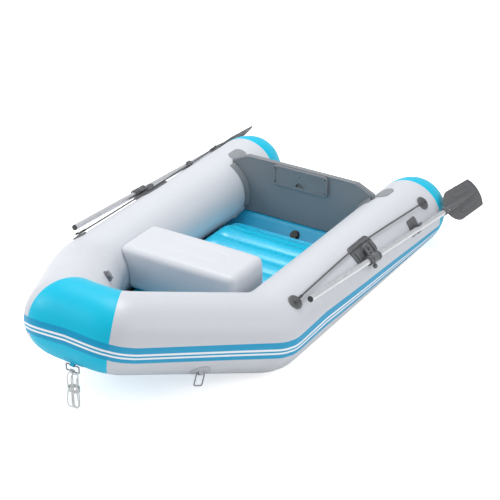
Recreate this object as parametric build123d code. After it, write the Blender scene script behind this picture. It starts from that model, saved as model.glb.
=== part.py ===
"""Inflatable dinghy with a soft transom bay, air floor, bench seat and a pair of stowed oars.

Frame: +Z up, keel line on z = 0, bow towards -Y, port side towards +X.
The origin is the middle of the hull's length and beam, on the ground line.
"""
from build123d import *
import math
import os

# ---- hull, mm ----
HULL_LENGTH = 2300
BEAM = 1300
TUBE_R = 172
SKIN = 1.0                # coated fabric of the buoyancy tubes
SEAM_WALL = 0.5           # half of the double skin at each welded seam
BOW_LENGTH = 766          # stem to the bend where the side tubes turn in
NOSE_HALF = 126           # half length of the straight nose tube
NOSE_RISE = 186           # lift of the nose above the side tubes
CONE_LENGTH = 140
CONE_SWEEP = 25           # degrees of gentle taper before the rounded tail
CONE_ARC_R = 250
GAP = 0.3                 # standing clearance between separate pieces

# ---- bottom, air floor and transom ----
BOTTOM_SKIN = 1.2
BOTTOM_INSET = 28         # bottom panel's side edges, inside the side tubes' lowest lines
BOTTOM_TUCK = 8           # how far the bottom panel's bow edges stay inside the keel lines
FLOOR_OVERREACH = 5       # the air floor's edges tuck under the tubes' inner faces
FLOOR_THICK = 106
FLOOR_SKIN = 0.8
FLOOR_EDGE_R = 40
FLOOR_BEAM_PITCH = 108
FLOOR_BEAM_T = 0.8
FLOOR_FRONT_LAP = 0.4186  # air floor's front edge, past the line where the bottom starts to rise
FLOOR_AFT_GAP = 118       # air floor's tail to the transom's inner face
TRANSOM_FROM_STERN = 397
TRANSOM_T = 24
TRANSOM_RISE = 46         # board's top edge over the tubes' tops
TRANSOM_BOTTOM = 85
TRANSOM_TOP_INSET = 169   # end of the level top edge, inboard of the tubes' centre lines
SHOULDER_INSET = 76
SHOULDER_RISE = 2
BAY_RAMP = 66             # length of the sloping panel in front of the transom
BAY_RAMP_FOOT = 14
LOBE_LENGTH = 112
LOBE_WIDTH = 76
LOBE_ANGLE = 109
PATCH_T = 1.6

# ---- motor pads and their screws ----
PAD_WIDTH = 311
PAD_HEIGHT = 110
PAD_T = 14
PAD_DROP = 6              # below the transom's top edge
PAD_CORNER = 20
PAD_RECESS = 3
PAD_RIM = 15
HANDLE_R = 24
HANDLE_LIFT = 17
SCREW_R = 4.5
SCREW_INSET = 12
OUTER_PAD_T = 9
OUTER_PAD_HEIGHT = 190

# ---- bench seat ----
SEAT_AFT = -10
SEAT_DEPTH = 275
SEAT_TOP = 317
SEAT_STARBOARD_INSET = 106  # the bench's starboard end, inboard of the tube's centre line
SEAT_PORT_GAP = 52        # between the bench's port end and the tube
SEAT_EDGE_R = 38
SEAT_SKIN = 0.8
WEB_STARBOARD_INSET = 102
WEB_PORT_INSET = 124
WEB_WIDTH = 90
WEB_T = 1.0

# ---- valves ----
VALVE_R = 26
VALVE_STEM_R = 17
VALVE_LIP = 5
CAP_T = 11
CAP_R = 22
CAP_LOBES = 6
BOW_VALVE_SHARE = 0.43    # from the nose seam towards the bend
BOW_VALVE_ANGLE = 35

# ---- grab line ----
LINE_R = 4.2
LINE_LIFT = 10.1
BOW_DISC_Y = -294
BOW_DISC_ANGLE = 54.5
STERN_DISC_Y = 903
STERN_DISC_ANGLE = 46
DISC_R = 34
DISC_T = 5
DISC_BOSS_R = 12
DISC_BOSS = 8

# ---- rowlock ----
LOCK_Y = 300
LOCK_ANGLE = 50
LOCK_RAKE = 24            # the pin leans aft so that the blade rises as it swings out
LOCK_PLATE_LENGTH = 186
LOCK_PLATE_WIDTH = 98
LOCK_PLATE_T = 5
LOCK_PLATE_CORNER = 26
TURRET_R = 18
TURRET_H = 15
PIN_R = 6
PIN_FIT = 0.1
HEAD_T = 14
CHEEK_T = 9
CHEEK_H = 4.5
CHEEK_SPREAD = 67
CHEEK_LENGTH = 52
CHEEK_DROP = 14           # cheeks sit below the pin, clear of the grab line
PIN_FOOT = 4
FINGER_W = 15
FINGER_T = 12
FINGER_SPREAD = 13
COLLAR_WALL = 5.75        # sleeve's wall round the shaft
COLLAR_LENGTH = 84
COLLAR_FIT = 0.25
BAND_RAISE = 2.5
BAND_W = 9
KNOB_R = 11.5
KNOB_REACH = 38
KNOB_STEM_R = 4
KNOB_DIRECTION = (0.35, 0, -0.94)

# ---- oar, measured along its shaft from the middle of the collar ----
OAR_DIRECTION = (0.036, 1.0, -0.0745)
OAR_OUTBOARD = 2.5        # shaft's centre line outside the tube's widest line
OAR_RISE = 114            # and over the tube's centre line
OAR_Y = 285
SHAFT_R = 14
SHAFT_WALL = 1.2
GRIP_END = -545
SHAFT_SPLIT = 250
SPIGOT_FIT = 0.2
SPIGOT_LENGTH = 90
SPLIT_BUTTON = 290
SOCKET_START = 700
SOCKET_WALL = 4
SOCKET_DEPTH = 62
BLADE_BUTTON = 728
BLADE_TIP = 1081
BLADE_SHOULDER = 836
BLADE_CORNER = 1046
BLADE_HALF = 80
BLADE_TIP_HALF = 76
BLADE_T = 5
BLADE_TILT = 41
SPINE_TIP_R = 4
BUTTON_R = 3.7
BUTTON_FIT = 0.3
BUTTON_FLANGE_R = 5.6
BUTTON_FLANGE_T = 2
BUTTON_PROUD = 3
BUTTON_STROKE = 2.5

# ---- oar clip ----
CLIP_REACH = 455          # along the shaft from the collar
CLIP_FIT = 3.5            # the cradle stands clear of the stowed shaft
CLIP_WALL = 5
CLIP_WIDTH = 34
CLIP_TOP_ANGLE = 85
CLIP_LOW_ANGLE = 232
CLIP_TONGUE = 16
CLIP_PAD_LENGTH = 80
CLIP_PAD_WIDTH = 84
CLIP_PAD_ANGLE = 26
CLIP_PAD_T = 4

# ---- tow rings and the painter's hank ----
RING_WIRE_R = 3
RING_WIDTH = 38
NOSE_RING_WIDTH = 66
RING_CORNER_SHARE = 0.2
RING_DROP = 56
RING_SHARE = 0.49         # along the bow tube from the bend to the nose
RING_ANGLE = -42
RING_PATCH_R = 46
TAB_LENGTH = 20
TAB_DEPTH = 12
NOSE_RING_ANGLE = -45
NOSE_RING_DROP = 30
HANK_TOP_GAP = 6.4
HANK_LENGTH = 190
HANK_HALF_WIDTHS = (19, 29, 21, 33, 26)
HANK_DEPTH_SHARE = 0.55

# ---- places worked out from the sizes above ----
BOW_Y = -HULL_LENGTH / 2
STERN_Y = HULL_LENGTH / 2
SIDE_X = BEAM / 2 - TUBE_R
BEND_Y = BOW_Y + BOW_LENGTH
NOSE_Y = BOW_Y + TUBE_R
NOSE_Z = TUBE_R + NOSE_RISE
CONE_Y = STERN_Y - CONE_LENGTH
TRANSOM_Y = STERN_Y - TRANSOM_FROM_STERN
TRANSOM_TOP = 2 * TUBE_R + TRANSOM_RISE
TRANSOM_TOP_HALF = SIDE_X - TRANSOM_TOP_INSET
SHOULDER_X = SIDE_X - SHOULDER_INSET
SHOULDER_Z = 2 * TUBE_R + SHOULDER_RISE
BOTTOM_HALF = SIDE_X - BOTTOM_INSET
FLOOR_HALF = SIDE_X - TUBE_R + FLOOR_OVERREACH
SEAT_STARBOARD = SIDE_X - SEAT_STARBOARD_INSET
SEAT_PORT = SIDE_X - TUBE_R - SEAT_PORT_GAP
COLLAR_R = SHAFT_R + COLLAR_FIT + COLLAR_WALL
BAND_R = COLLAR_R + BAND_RAISE
SPIGOT_R = SHAFT_R - SHAFT_WALL - SPIGOT_FIT
SOCKET_R = SHAFT_R + SOCKET_WALL
CLIP_R = SHAFT_R + CLIP_FIT
FLOOR_TOP = BOTTOM_SKIN + GAP + FLOOR_THICK

BEND = Vector(SIDE_X, BEND_Y, TUBE_R)
NOSE = Vector(NOSE_HALF, NOSE_Y, NOSE_Z)
TAIL = Vector(SIDE_X, CONE_Y, TUBE_R)
BOW_DIR = (NOSE - BEND).normalized()
FORWARD = Vector(0, -1, 0)
INWARD = Vector(-1, 0, 0)
UP = Vector(0, 0, 1)


def save(node, shape):
    export_step(shape, f"parts/{node}.step")


def mirrored(shape):
    return mirror(shape, Plane.YZ)


def save_pair(name, port_shape):
    """The port piece, and the same piece mirrored to starboard."""
    save(f"port_{name}", port_shape)
    save(f"starboard_{name}", mirrored(port_shape))


def rod(start, direction, length, radius):
    """A round bar from a point, along a direction."""
    return Solid.make_cylinder(radius, length, Plane(origin=start, z_dir=direction))


def side_normal(angle):
    """Outward direction on the port side tube, from the horizontal upwards."""
    a = math.radians(angle)
    return Vector(math.cos(a), 0, math.sin(a))


def side_point(y, angle, lift=0.0):
    """A point over the port side tube's skin."""
    return Vector(SIDE_X, y, TUBE_R) + side_normal(angle) * (TUBE_R + lift)


def bow_frame(share, angle):
    """Origin on the port bow tube's skin and its outward normal; the angle is above the horizontal."""
    level = Vector(-BOW_DIR.Y, BOW_DIR.X, 0).normalized() * -1
    if level.X < 0:
        level = level * -1
    rise = level.cross(BOW_DIR).normalized()
    if rise.Z < 0:
        rise = rise * -1
    a = math.radians(angle)
    normal = level * math.cos(a) + rise * math.sin(a)
    centre = BEND + (NOSE - BEND) * share
    return centre + normal * TUBE_R, normal


# ---------------------------------------------------------------- hull tubes
def mitred_bar(start, end, start_normal, end_normal, radius, inset=0.0):
    """A round bar cut by a plane at each end; both normals point from start to end."""
    along = (end - start).normalized()
    length = (end - start).length
    bar = rod(start - along * 2 * TUBE_R, along, length + 4 * TUBE_R, radius)
    bar = bar.split(Plane(origin=start + start_normal * inset, z_dir=start_normal), keep=Keep.TOP)
    return bar.split(Plane(origin=end - end_normal * inset, z_dir=end_normal), keep=Keep.BOTTOM)


def air_tube(start, end, start_normal, end_normal):
    """A sealed tube of coated fabric, closed at its welded seams."""
    outer = mitred_bar(start, end, start_normal, end_normal, TUBE_R)
    inner = mitred_bar(start, end, start_normal, end_normal, TUBE_R - SKIN, SEAM_WALL)
    return outer - inner


BEND_NORMAL = (FORWARD + BOW_DIR).normalized()
NOSE_NORMAL = (BOW_DIR + INWARD).normalized()


def hull_tubes():
    save_pair("side_tube", air_tube(TAIL, BEND, FORWARD, BEND_NORMAL))
    save_pair("bow_tube", air_tube(BEND, NOSE, BEND_NORMAL, NOSE_NORMAL))
    far_nose = Vector(-NOSE.X, NOSE.Y, NOSE.Z)
    far_normal = Vector(NOSE_NORMAL.X, -NOSE_NORMAL.Y, -NOSE_NORMAL.Z)
    save("nose_tube", air_tube(NOSE, far_nose, NOSE_NORMAL, far_normal))
    baffle_r = TUBE_R - SKIN - GAP
    save("chamber_baffle", rod(Vector(-SKIN / 2, NOSE_Y, NOSE_Z), Vector(1, 0, 0), SKIN, baffle_r))


def cone_solid(skin):
    """Tail cone grown inwards by a skin: a gentle taper, then a round tail."""
    sweep = math.radians(CONE_SWEEP)
    r0 = TUBE_R - skin
    length = CONE_LENGTH - skin
    arc_r = CONE_ARC_R - skin
    r1 = r0 - arc_r * (1 - math.cos(sweep))
    y1 = arc_r * math.sin(sweep)
    tail_r = (length - y1) / (1 - math.sin(sweep))
    half = sweep / 2
    turn = (sweep + math.pi / 2) / 2
    centre_r = r1 - tail_r * math.cos(sweep)
    centre_y = y1 - tail_r * math.sin(sweep)
    profile = Polyline((r0, 0), (0, 0), (0, length), (centre_r, length))
    profile += ThreePointArc(
        (centre_r, length),
        (centre_r + tail_r * math.cos(turn), centre_y + tail_r * math.sin(turn)),
        (r1, y1),
    )
    profile += ThreePointArc(
        (r1, y1),
        (r0 - arc_r * (1 - math.cos(half)), arc_r * math.sin(half)),
        (r0, 0),
    )
    turned = revolve(make_face(profile), Axis.Y)
    if skin:
        turned = turned - Pos(0, SEAM_WALL / 2, 0) * Box(3 * TUBE_R, SEAM_WALL, 3 * TUBE_R)
    return Pos(SIDE_X, CONE_Y, TUBE_R) * turned


def side_solid(radius):
    """Port side tube as a plain bar, used to trim what lies against it."""
    return rod(Vector(SIDE_X, STERN_Y, TUBE_R), FORWARD, HULL_LENGTH, radius)


def bow_solid(radius):
    return rod(BEND - BOW_DIR * TUBE_R, BOW_DIR, (NOSE - BEND).length + 2 * TUBE_R, radius)


def tube_cutters(radius):
    """All five tubes as plain bars of a given radius."""
    side = side_solid(radius)
    bow = bow_solid(radius)
    nose = rod(Vector(-NOSE_HALF, NOSE_Y, NOSE_Z), Vector(1, 0, 0), 2 * NOSE_HALF, radius)
    return [side, mirrored(side), bow, mirrored(bow), nose]


def conformal(shape, radius=None):
    """A piece trimmed to sit on the port side tube."""
    return shape - side_solid(TUBE_R + GAP if radius is None else radius)


# ---------------------------------------------------------------- bottom, floor, transom
def keel_line(share):
    """The lowest line of the port bow tube."""
    down = (UP * -1) + BOW_DIR * BOW_DIR.Z
    return BEND + (NOSE - BEND) * share + down.normalized() * TUBE_R


def bottom_rise():
    """The bow panel's slope, and the line where the flat bottom starts to rise into it."""
    low = keel_line(0)
    high = keel_line(1)
    slope = (high.Z - low.Z) / (low.Y - high.Y)
    return slope, low.Y + low.Z / slope


def bottom_skin():
    """One fabric sheet: sloping bow panel, flat bottom, ramp up to the transom."""
    low = keel_line(0)
    high = keel_line(1)
    slope, flat_front = bottom_rise()
    nose_edge = NOSE_Y - 10
    nose_edge_z = (flat_front - nose_edge) * slope
    foot = TRANSOM_Y - BAY_RAMP - BAY_RAMP_FOOT
    knee = TRANSOM_Y - BAY_RAMP_FOOT
    t = BOTTOM_SKIN
    under = [(nose_edge, nose_edge_z), (flat_front, 0), (foot, 0), (knee, TRANSOM_BOTTOM - 6)]
    under += [(TRANSOM_Y + TRANSOM_T, TRANSOM_BOTTOM - 6)]
    over = [(y, z + t) for y, z in reversed(under)]
    section = Plane.YZ * make_face(Polyline(*under, *over, under[0]))
    sheet = extrude(section, BOTTOM_HALF, both=True)
    front_half = high.X + (low.X - high.X) * (nose_edge - high.Y) / (low.Y - high.Y)
    plan = [(low.X - BOTTOM_TUCK, low.Y), (front_half - BOTTOM_TUCK, nose_edge - 1)]
    plan += [(-x, y) for x, y in reversed(plan)]
    plan += [(-BOTTOM_HALF, STERN_Y), (BOTTOM_HALF, STERN_Y)]
    footprint = extrude(make_face(Polyline(*plan, plan[0])), NOSE_Z)
    sheet = sheet & footprint
    for tube in tube_cutters(TUBE_R + GAP / 2):
        sheet = sheet - tube
    return sheet


def floor_block(skin):
    """Air floor grown inwards by a skin."""
    front = bottom_rise()[1] - FLOOR_FRONT_LAP + skin
    back = TRANSOM_Y - FLOOR_AFT_GAP - skin
    half = FLOOR_HALF - skin
    height = FLOOR_THICK - 2 * skin
    block = Pos(0, (front + back) / 2, BOTTOM_SKIN + GAP + skin + height / 2)
    block = block * Box(2 * half, back - front, height)
    upright = block.edges().filter_by(Axis.Z)
    block = fillet(upright, 60 - skin)
    rim = block.faces().sort_by(Axis.Z)[-1].edges()
    return fillet(rim, FLOOR_EDGE_R - skin)


def air_floor():
    save("floor_mattress", floor_block(0) - floor_block(FLOOR_SKIN))
    front = bottom_rise()[1] - FLOOR_FRONT_LAP
    back = TRANSOM_Y - FLOOR_AFT_GAP
    count = int((back - front) / FLOOR_BEAM_PITCH)
    height = FLOOR_THICK - 2 * FLOOR_SKIN - 2 * GAP
    middle_z = BOTTOM_SKIN + GAP + FLOOR_THICK / 2
    beams = []
    for i in range(1, count + 1):
        y = back - i * FLOOR_BEAM_PITCH
        if y > front + FLOOR_EDGE_R:
            beams.append(Pos(0, y, middle_z) * Box(2 * (FLOOR_HALF - 70), FLOOR_BEAM_T, height))
    save("floor_webs", Compound(children=beams))


def transom_board():
    """Plywood core in coated fabric; its lower sides follow the tubes, its shoulders lie over them."""
    half = [(0, TRANSOM_TOP), (TRANSOM_TOP_HALF, TRANSOM_TOP), (SHOULDER_X, SHOULDER_Z)]
    half += [(SHOULDER_X, TUBE_R + 130), (SIDE_X - 60, TUBE_R), (SIDE_X - 60, TRANSOM_BOTTOM), (0, TRANSOM_BOTTOM)]
    outline = Plane.XZ * make_face(Polyline(*half, half[0]))
    slab = Pos(0, TRANSOM_Y, 0) * extrude(outline, -TRANSOM_T)
    slab = slab - side_solid(TUBE_R + GAP)
    board = slab + mirrored(slab)
    top_edges = board.edges().filter_by(Axis.X).group_by(Axis.Z)[-1]
    return fillet(top_edges, 5)


def transom_lobes():
    """Rounded reinforcing patches on the tube tops behind the transom."""
    normal = side_normal(LOBE_ANGLE)
    start = Vector(SIDE_X, TRANSOM_Y + TRANSOM_T + GAP + LOBE_LENGTH / 2, TUBE_R)
    base = Plane(origin=start, x_dir=(0, 1, 0), z_dir=normal)
    column = extrude(base * RectangleRounded(LOBE_LENGTH, LOBE_WIDTH, LOBE_WIDTH * 0.45), TUBE_R + 10)
    lobe = (column & side_solid(TUBE_R + GAP / 2 + PATCH_T)) - side_solid(TUBE_R + GAP / 2)
    return Compound(children=[lobe, mirrored(lobe)])


PAD_Z = TRANSOM_TOP - PAD_DROP - PAD_HEIGHT / 2


def screw_places():
    x = PAD_WIDTH / 2 - SCREW_INSET
    z = PAD_HEIGHT / 2 - SCREW_INSET - 6
    return [(x, PAD_Z + z), (-x, PAD_Z + z), (x, PAD_Z - z), (-x, PAD_Z - z), (0, PAD_Z + z * 0.45)]


def motor_pad():
    """Inner clamping pad: bevelled rim, shallow field and a D-shaped finger recess."""
    face = TRANSOM_Y - GAP / 2
    plate = Plane.XZ * RectangleRounded(PAD_WIDTH, PAD_HEIGHT, PAD_CORNER)
    pad = Pos(0, face, PAD_Z) * extrude(plate, PAD_T)
    front_edges = pad.faces().sort_by(Axis.Y)[0].edges()
    pad = chamfer(front_edges, 3)
    field = RectangleRounded(PAD_WIDTH - 2 * PAD_RIM, PAD_HEIGHT - 2 * PAD_RIM, PAD_CORNER / 2)
    arch = Pos(0, -PAD_HEIGHT / 2 + HANDLE_LIFT) * Circle(HANDLE_R + 13)
    field = Plane.XZ * (field - arch)
    pad = pad - Pos(0, face - PAD_T, PAD_Z) * extrude(field, -PAD_RECESS)
    half_disc = Circle(HANDLE_R) - Pos(0, -HANDLE_R) * Rectangle(4 * HANDLE_R, 2 * HANDLE_R)
    recess = Plane.XZ * (Pos(0, -PAD_HEIGHT / 2 + HANDLE_LIFT) * half_disc)
    pad = pad - Pos(0, face - PAD_T, PAD_Z) * extrude(recess, -(PAD_T - 2))
    for x, z in screw_places():
        pad = pad - rod(Vector(x, face - PAD_T - 1, z), Vector(0, 1, 0), PAD_T + 2, SCREW_R)
    return pad


def pad_screws():
    """Countersunk screws with a cross slot, one group."""
    face = TRANSOM_Y - GAP / 2
    screws = []
    for x, z in screw_places():
        shank = rod(Vector(x, face - PAD_T + PAD_RECESS + 1, z), Vector(0, 1, 0), PAD_T - PAD_RECESS - 1.5,
                    SCREW_R - PIN_FIT)
        for turn in (0, 90):
            slot = Rot(0, turn, 0) * Box(6, 3, 1.2)
            shank = shank - Pos(x, face - PAD_T + PAD_RECESS + 1, z) * slot
        screws.append(shank)
    return Compound(children=screws)


def outer_motor_plate():
    face = TRANSOM_Y + TRANSOM_T + GAP / 2
    plate = Plane.XZ * RectangleRounded(PAD_WIDTH, OUTER_PAD_HEIGHT, PAD_CORNER)
    middle = TRANSOM_TOP - PAD_DROP - OUTER_PAD_HEIGHT / 2
    pad = Pos(0, face, middle) * extrude(plate, -OUTER_PAD_T)
    return chamfer(pad.faces().sort_by(Axis.Y)[-1].edges(), 2.5)


# ---------------------------------------------------------------- seat
SEAT_BOTTOM = FLOOR_TOP + GAP


def seat_block(skin):
    """Bench seat grown inwards by a skin; its starboard end leans over the tube's shoulder."""
    width = SEAT_PORT + SEAT_STARBOARD - 2 * skin
    depth = SEAT_DEPTH - 2 * skin
    height = SEAT_TOP - SEAT_BOTTOM - 2 * skin
    centre = Pos((SEAT_PORT - SEAT_STARBOARD) / 2, SEAT_AFT - SEAT_DEPTH / 2, (SEAT_TOP + SEAT_BOTTOM) / 2)
    block = centre * Box(width, depth, height)
    block = fillet(block.edges(), SEAT_EDGE_R - skin)
    clear = TUBE_R + 2 + skin
    shoulder = mirrored(side_solid(clear))
    below = Pos(-SIDE_X, SEAT_AFT - SEAT_DEPTH / 2, TUBE_R / 2) * Box(2 * clear, HULL_LENGTH, TUBE_R)
    return block - shoulder - below


def seat():
    shell = seat_block(0) - seat_block(SEAT_SKIN)
    y = SEAT_AFT - SEAT_DEPTH / 2
    bottom = SEAT_BOTTOM + SEAT_SKIN + GAP
    height = SEAT_TOP - SEAT_SKIN - GAP - bottom
    web_starboard = WEB_STARBOARD_INSET - SEAT_STARBOARD
    web_port = SEAT_PORT - WEB_PORT_INSET
    length = web_port - web_starboard
    ring = SlotOverall(length, WEB_WIDTH) - SlotOverall(length - 2 * WEB_T, WEB_WIDTH - 2 * WEB_T)
    web = Pos((web_port + web_starboard) / 2, y, bottom) * extrude(ring, height)
    save("seat_web", web)
    save("seat_cushion", shell)
    stem_z = (SEAT_TOP + SEAT_BOTTOM) / 2
    stem_x = SEAT_PORT - 110
    lip = rod(Vector(stem_x, SEAT_AFT + GAP, stem_z), Vector(0, 1, 0), 3, 17)
    plug = rod(Vector(stem_x, SEAT_AFT + GAP, stem_z), Vector(0, 1, 0), 9, 10)
    save("seat_valve", lip + plug)


# ---------------------------------------------------------------- valves
def valve_body(origin, normal):
    """Flanged boss standing on the skin with a threaded spigot for its cap."""
    start = origin + normal * GAP
    boss = rod(start, normal, VALVE_LIP, VALVE_R)
    spigot = rod(start, normal, VALVE_LIP + 6, VALVE_STEM_R)
    return boss + spigot


def valve_cap(origin, normal):
    """Screw cap with finger lobes, hollow over the spigot."""
    base = origin + normal * (GAP + VALVE_LIP + GAP)
    cap = rod(base, normal, CAP_T, CAP_R)
    side = Plane(origin=base, z_dir=normal)
    for i in range(CAP_LOBES):
        turn = math.radians(360 / CAP_LOBES * i)
        place = side.from_local_coords(Vector(math.cos(turn), math.sin(turn), 0) * (CAP_R + 5))
        cap = cap - rod(place - normal, normal, CAP_T + 2, 9)
    return cap - rod(base - normal, normal, 7.5, VALVE_STEM_R + GAP)


def trim_flat(shape, cutters):
    for cutter in cutters:
        shape = shape - cutter
    return shape


def valves():
    origin, normal = bow_frame(1 - BOW_VALVE_SHARE, 180 - BOW_VALVE_ANGLE)
    body = valve_body(origin, normal)
    grown = rod(origin - normal * 4, normal, 6, VALVE_R)
    body = trim_flat(body + grown, [bow_solid(TUBE_R + GAP)])
    save("hull_valve_bodies", Compound(children=[body, mirrored(body)]))
    save_pair("valve_cap", valve_cap(origin, normal))
    ramp = Vector(0, BAY_RAMP, TRANSOM_BOTTOM - 6).normalized()
    out = Vector(0, -ramp.Z, ramp.Y)
    foot = Vector(0, TRANSOM_Y - BAY_RAMP - BAY_RAMP_FOOT, BOTTOM_SKIN)
    middle = foot + ramp * (math.hypot(BAY_RAMP, TRANSOM_BOTTOM - 6) * 0.5)
    save("drain_valve_body", valve_body(middle, out))
    save("drain_valve_cap", valve_cap(middle, out))


# ---------------------------------------------------------------- grab lines
def line_disc(y, angle):
    """Ridged rubber disc glued to the tube, with a hollow boss for the line."""
    normal = side_normal(angle)
    centre = side_point(y, angle)
    disc = rod(centre - normal * 6, normal, 6 + DISC_T, DISC_R)
    disc = chamfer(disc.faces().sort_by(lambda f: f.center().dot(normal))[-1].edges(), 2)
    for radius in (18, 26):
        groove = rod(centre + normal * (DISC_T - 1), normal, 2, radius + 1.5)
        groove = groove - rod(centre + normal * (DISC_T - 2), normal, 4, radius - 1.5)
        disc = disc - groove
    disc = disc + rod(centre - normal * 6, normal, 6 + DISC_BOSS, DISC_BOSS_R)
    return conformal(disc)


def line_route():
    """Centre line of the port grab line: taut from disc to disc, over the rowlock plate."""
    boss_top = DISC_BOSS + LINE_R + 0.8
    stops = [
        (BOW_DISC_Y, BOW_DISC_ANGLE, boss_top),
        (BOW_DISC_Y + 60, BOW_DISC_ANGLE + 1.0, LINE_LIFT),
        (LOCK_Y - 90, 59.5, LINE_LIFT),
        (LOCK_Y + 95, 58.2, LINE_LIFT),
        (STERN_DISC_Y - 60, STERN_DISC_ANGLE + 1.4, LINE_LIFT),
        (STERN_DISC_Y, STERN_DISC_ANGLE, boss_top),
    ]
    return [side_point(*stop) for stop in stops]


def corner_radii(points):
    """The roundest arc that each corner's two runs leave room for."""
    radii = []
    for before, here, after in zip(points, points[1:], points[2:]):
        arm = min((here - before).length, (after - here).length)
        turn = math.radians((here - before).get_angle(after - here))
        radii.append(0.45 * arm / math.tan(turn / 2))
    return radii


def grab_line():
    points = line_route()
    radii = corner_radii(points)
    print("grab line radii:", [round(r) for r in radii])
    path = FilletPolyline(*points, radius=radii)
    start = Plane(origin=points[0], z_dir=points[1] - points[0])
    return sweep(start * Circle(LINE_R), path=path)


# ---------------------------------------------------------------- oar axes
OAR = Vector(*OAR_DIRECTION).normalized()
COLLAR = Vector(SIDE_X + TUBE_R + OAR_OUTBOARD, OAR_Y, TUBE_R + OAR_RISE)
LOCK_NORMAL = side_normal(LOCK_ANGLE)
rake = math.radians(LOCK_RAKE)
PIN = (LOCK_NORMAL * math.cos(rake) + Vector(0, 1, 0) * math.sin(rake)).normalized()
PIVOT = side_point(LOCK_Y, LOCK_ANGLE)


def oar_point(distance):
    return COLLAR + OAR * distance


def square_to_oar(direction):
    """The part of a direction that is square to the shaft, at unit length."""
    return (direction - OAR * direction.dot(OAR)).normalized()


OUTBOARD = square_to_oar(side_normal(32))
KNOB_DIR = square_to_oar(Vector(*KNOB_DIRECTION))


# ---------------------------------------------------------------- rowlock
def rowlock_base():
    """Plate glued to the tube, cheeks, and a raked turret bored for the pin."""
    frame = Plane(origin=Vector(SIDE_X, LOCK_Y, TUBE_R), x_dir=(0, 1, 0), z_dir=LOCK_NORMAL)
    blank = RectangleRounded(LOCK_PLATE_LENGTH, LOCK_PLATE_WIDTH, LOCK_PLATE_CORNER)
    column = extrude(frame * blank, TUBE_R + 60)
    plate = column & side_solid(TUBE_R + GAP + LOCK_PLATE_T)
    for side in (-1, 1):
        middle = PIVOT + Vector(0, side * CHEEK_SPREAD, 0) + LOCK_NORMAL.cross(Vector(0, 1, 0)) * -CHEEK_DROP
        rib = Plane(origin=middle, x_dir=(0, 1, 0), z_dir=LOCK_NORMAL)
        wall = extrude(rib * RectangleRounded(CHEEK_T, CHEEK_LENGTH, CHEEK_T * 0.45), 60, both=True)
        plate = plate + (wall & side_solid(TUBE_R + GAP + LOCK_PLATE_T + CHEEK_H))
    plate = plate + rod(PIVOT - PIN * 8, PIN, 8 + TURRET_H, TURRET_R)
    plate = conformal(plate)
    return plate - rod(PIVOT + PIN * (PIN_FOOT - GAP), PIN, TURRET_H + 5, PIN_R + PIN_FIT)


HEAD_START = TURRET_H + GAP


def rowlock_yoke():
    """Swivel head with two fingers that reach down to the oar's collar."""
    head = rod(PIVOT + PIN * HEAD_START, PIN, HEAD_T, TURRET_R)
    middle = PIVOT + PIN * (HEAD_START + HEAD_T / 2)
    reach = COLLAR - middle
    across = square_to_oar(reach)
    flat = OAR.cross(across).normalized()
    for side in (-1, 1):
        start = middle + OAR * (side * FINGER_SPREAD)
        base = Plane(origin=start, x_dir=OAR, z_dir=reach)
        finger = extrude(base * RectangleRounded(FINGER_W, FINGER_T, 4), reach.length)
        head = head + finger
    bridge = Plane(origin=middle + reach * 0.42, x_dir=OAR, z_dir=flat)
    head = head + extrude(bridge * Rectangle(2 * FINGER_SPREAD, 10), 4, both=True)
    head = head - rod(PIVOT, PIN, HEAD_START, TURRET_R + GAP)
    head = head - rod(PIVOT + PIN * (HEAD_START + HEAD_T), PIN, 3 * HEAD_T, PIN_R + 5 + GAP)
    head = head - rod(oar_point(-COLLAR_LENGTH), OAR, 2 * COLLAR_LENGTH, BAND_R + GAP / 2)
    return head - rod(PIVOT + PIN, PIN, HEAD_START + HEAD_T + 5, PIN_R + PIN_FIT)


def rowlock_pin():
    """Headed pin through the yoke into the turret."""
    top = PIVOT + PIN * (HEAD_START + HEAD_T + GAP / 2)
    shank = rod(PIVOT + PIN * PIN_FOOT, PIN, HEAD_START + HEAD_T - PIN_FOOT + 1, PIN_R)
    cap = rod(top, PIN, 5, PIN_R + 5)
    cap = chamfer(cap.faces().sort_by(lambda f: f.center().dot(PIN))[-1].edges(), 2)
    return shank + cap


def oar_collar():
    """Sleeve round the shaft with a band at each end and at the fingers, and the knob's boss."""
    sleeve = rod(oar_point(-COLLAR_LENGTH / 2), OAR, COLLAR_LENGTH, COLLAR_R)
    for start in (-COLLAR_LENGTH / 2, COLLAR_LENGTH / 2 - BAND_W):
        sleeve = sleeve + rod(oar_point(start), OAR, BAND_W, BAND_R)
    saddle = rod(oar_point(-FINGER_SPREAD - FINGER_W / 2 - 2), OAR, 2 * FINGER_SPREAD + FINGER_W + 4, BAND_R)
    boss = rod(oar_point(0), KNOB_DIR, KNOB_REACH - KNOB_R - 1.5, KNOB_STEM_R + 4)
    sleeve = sleeve + saddle + boss
    sleeve = sleeve - rod(oar_point(-COLLAR_LENGTH), OAR, 2 * COLLAR_LENGTH, SHAFT_R + COLLAR_FIT)
    return sleeve - rod(oar_point(0), KNOB_DIR, KNOB_REACH, KNOB_STEM_R + GAP)


def collar_knob():
    """Ball-ended clamp screw."""
    stem = rod(oar_point(0) + KNOB_DIR * (SHAFT_R + COLLAR_FIT + GAP), KNOB_DIR, KNOB_REACH - SHAFT_R, KNOB_STEM_R)
    ball = Solid.make_sphere(KNOB_R, angle1=-90, angle2=90, angle3=360)
    return stem + ball.moved(Location(oar_point(0) + KNOB_DIR * KNOB_REACH))


# ---------------------------------------------------------------- oar
def button_hole(distance):
    return rod(oar_point(distance), OUTBOARD, 3 * SHAFT_R, BUTTON_R + BUTTON_FIT)


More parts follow.
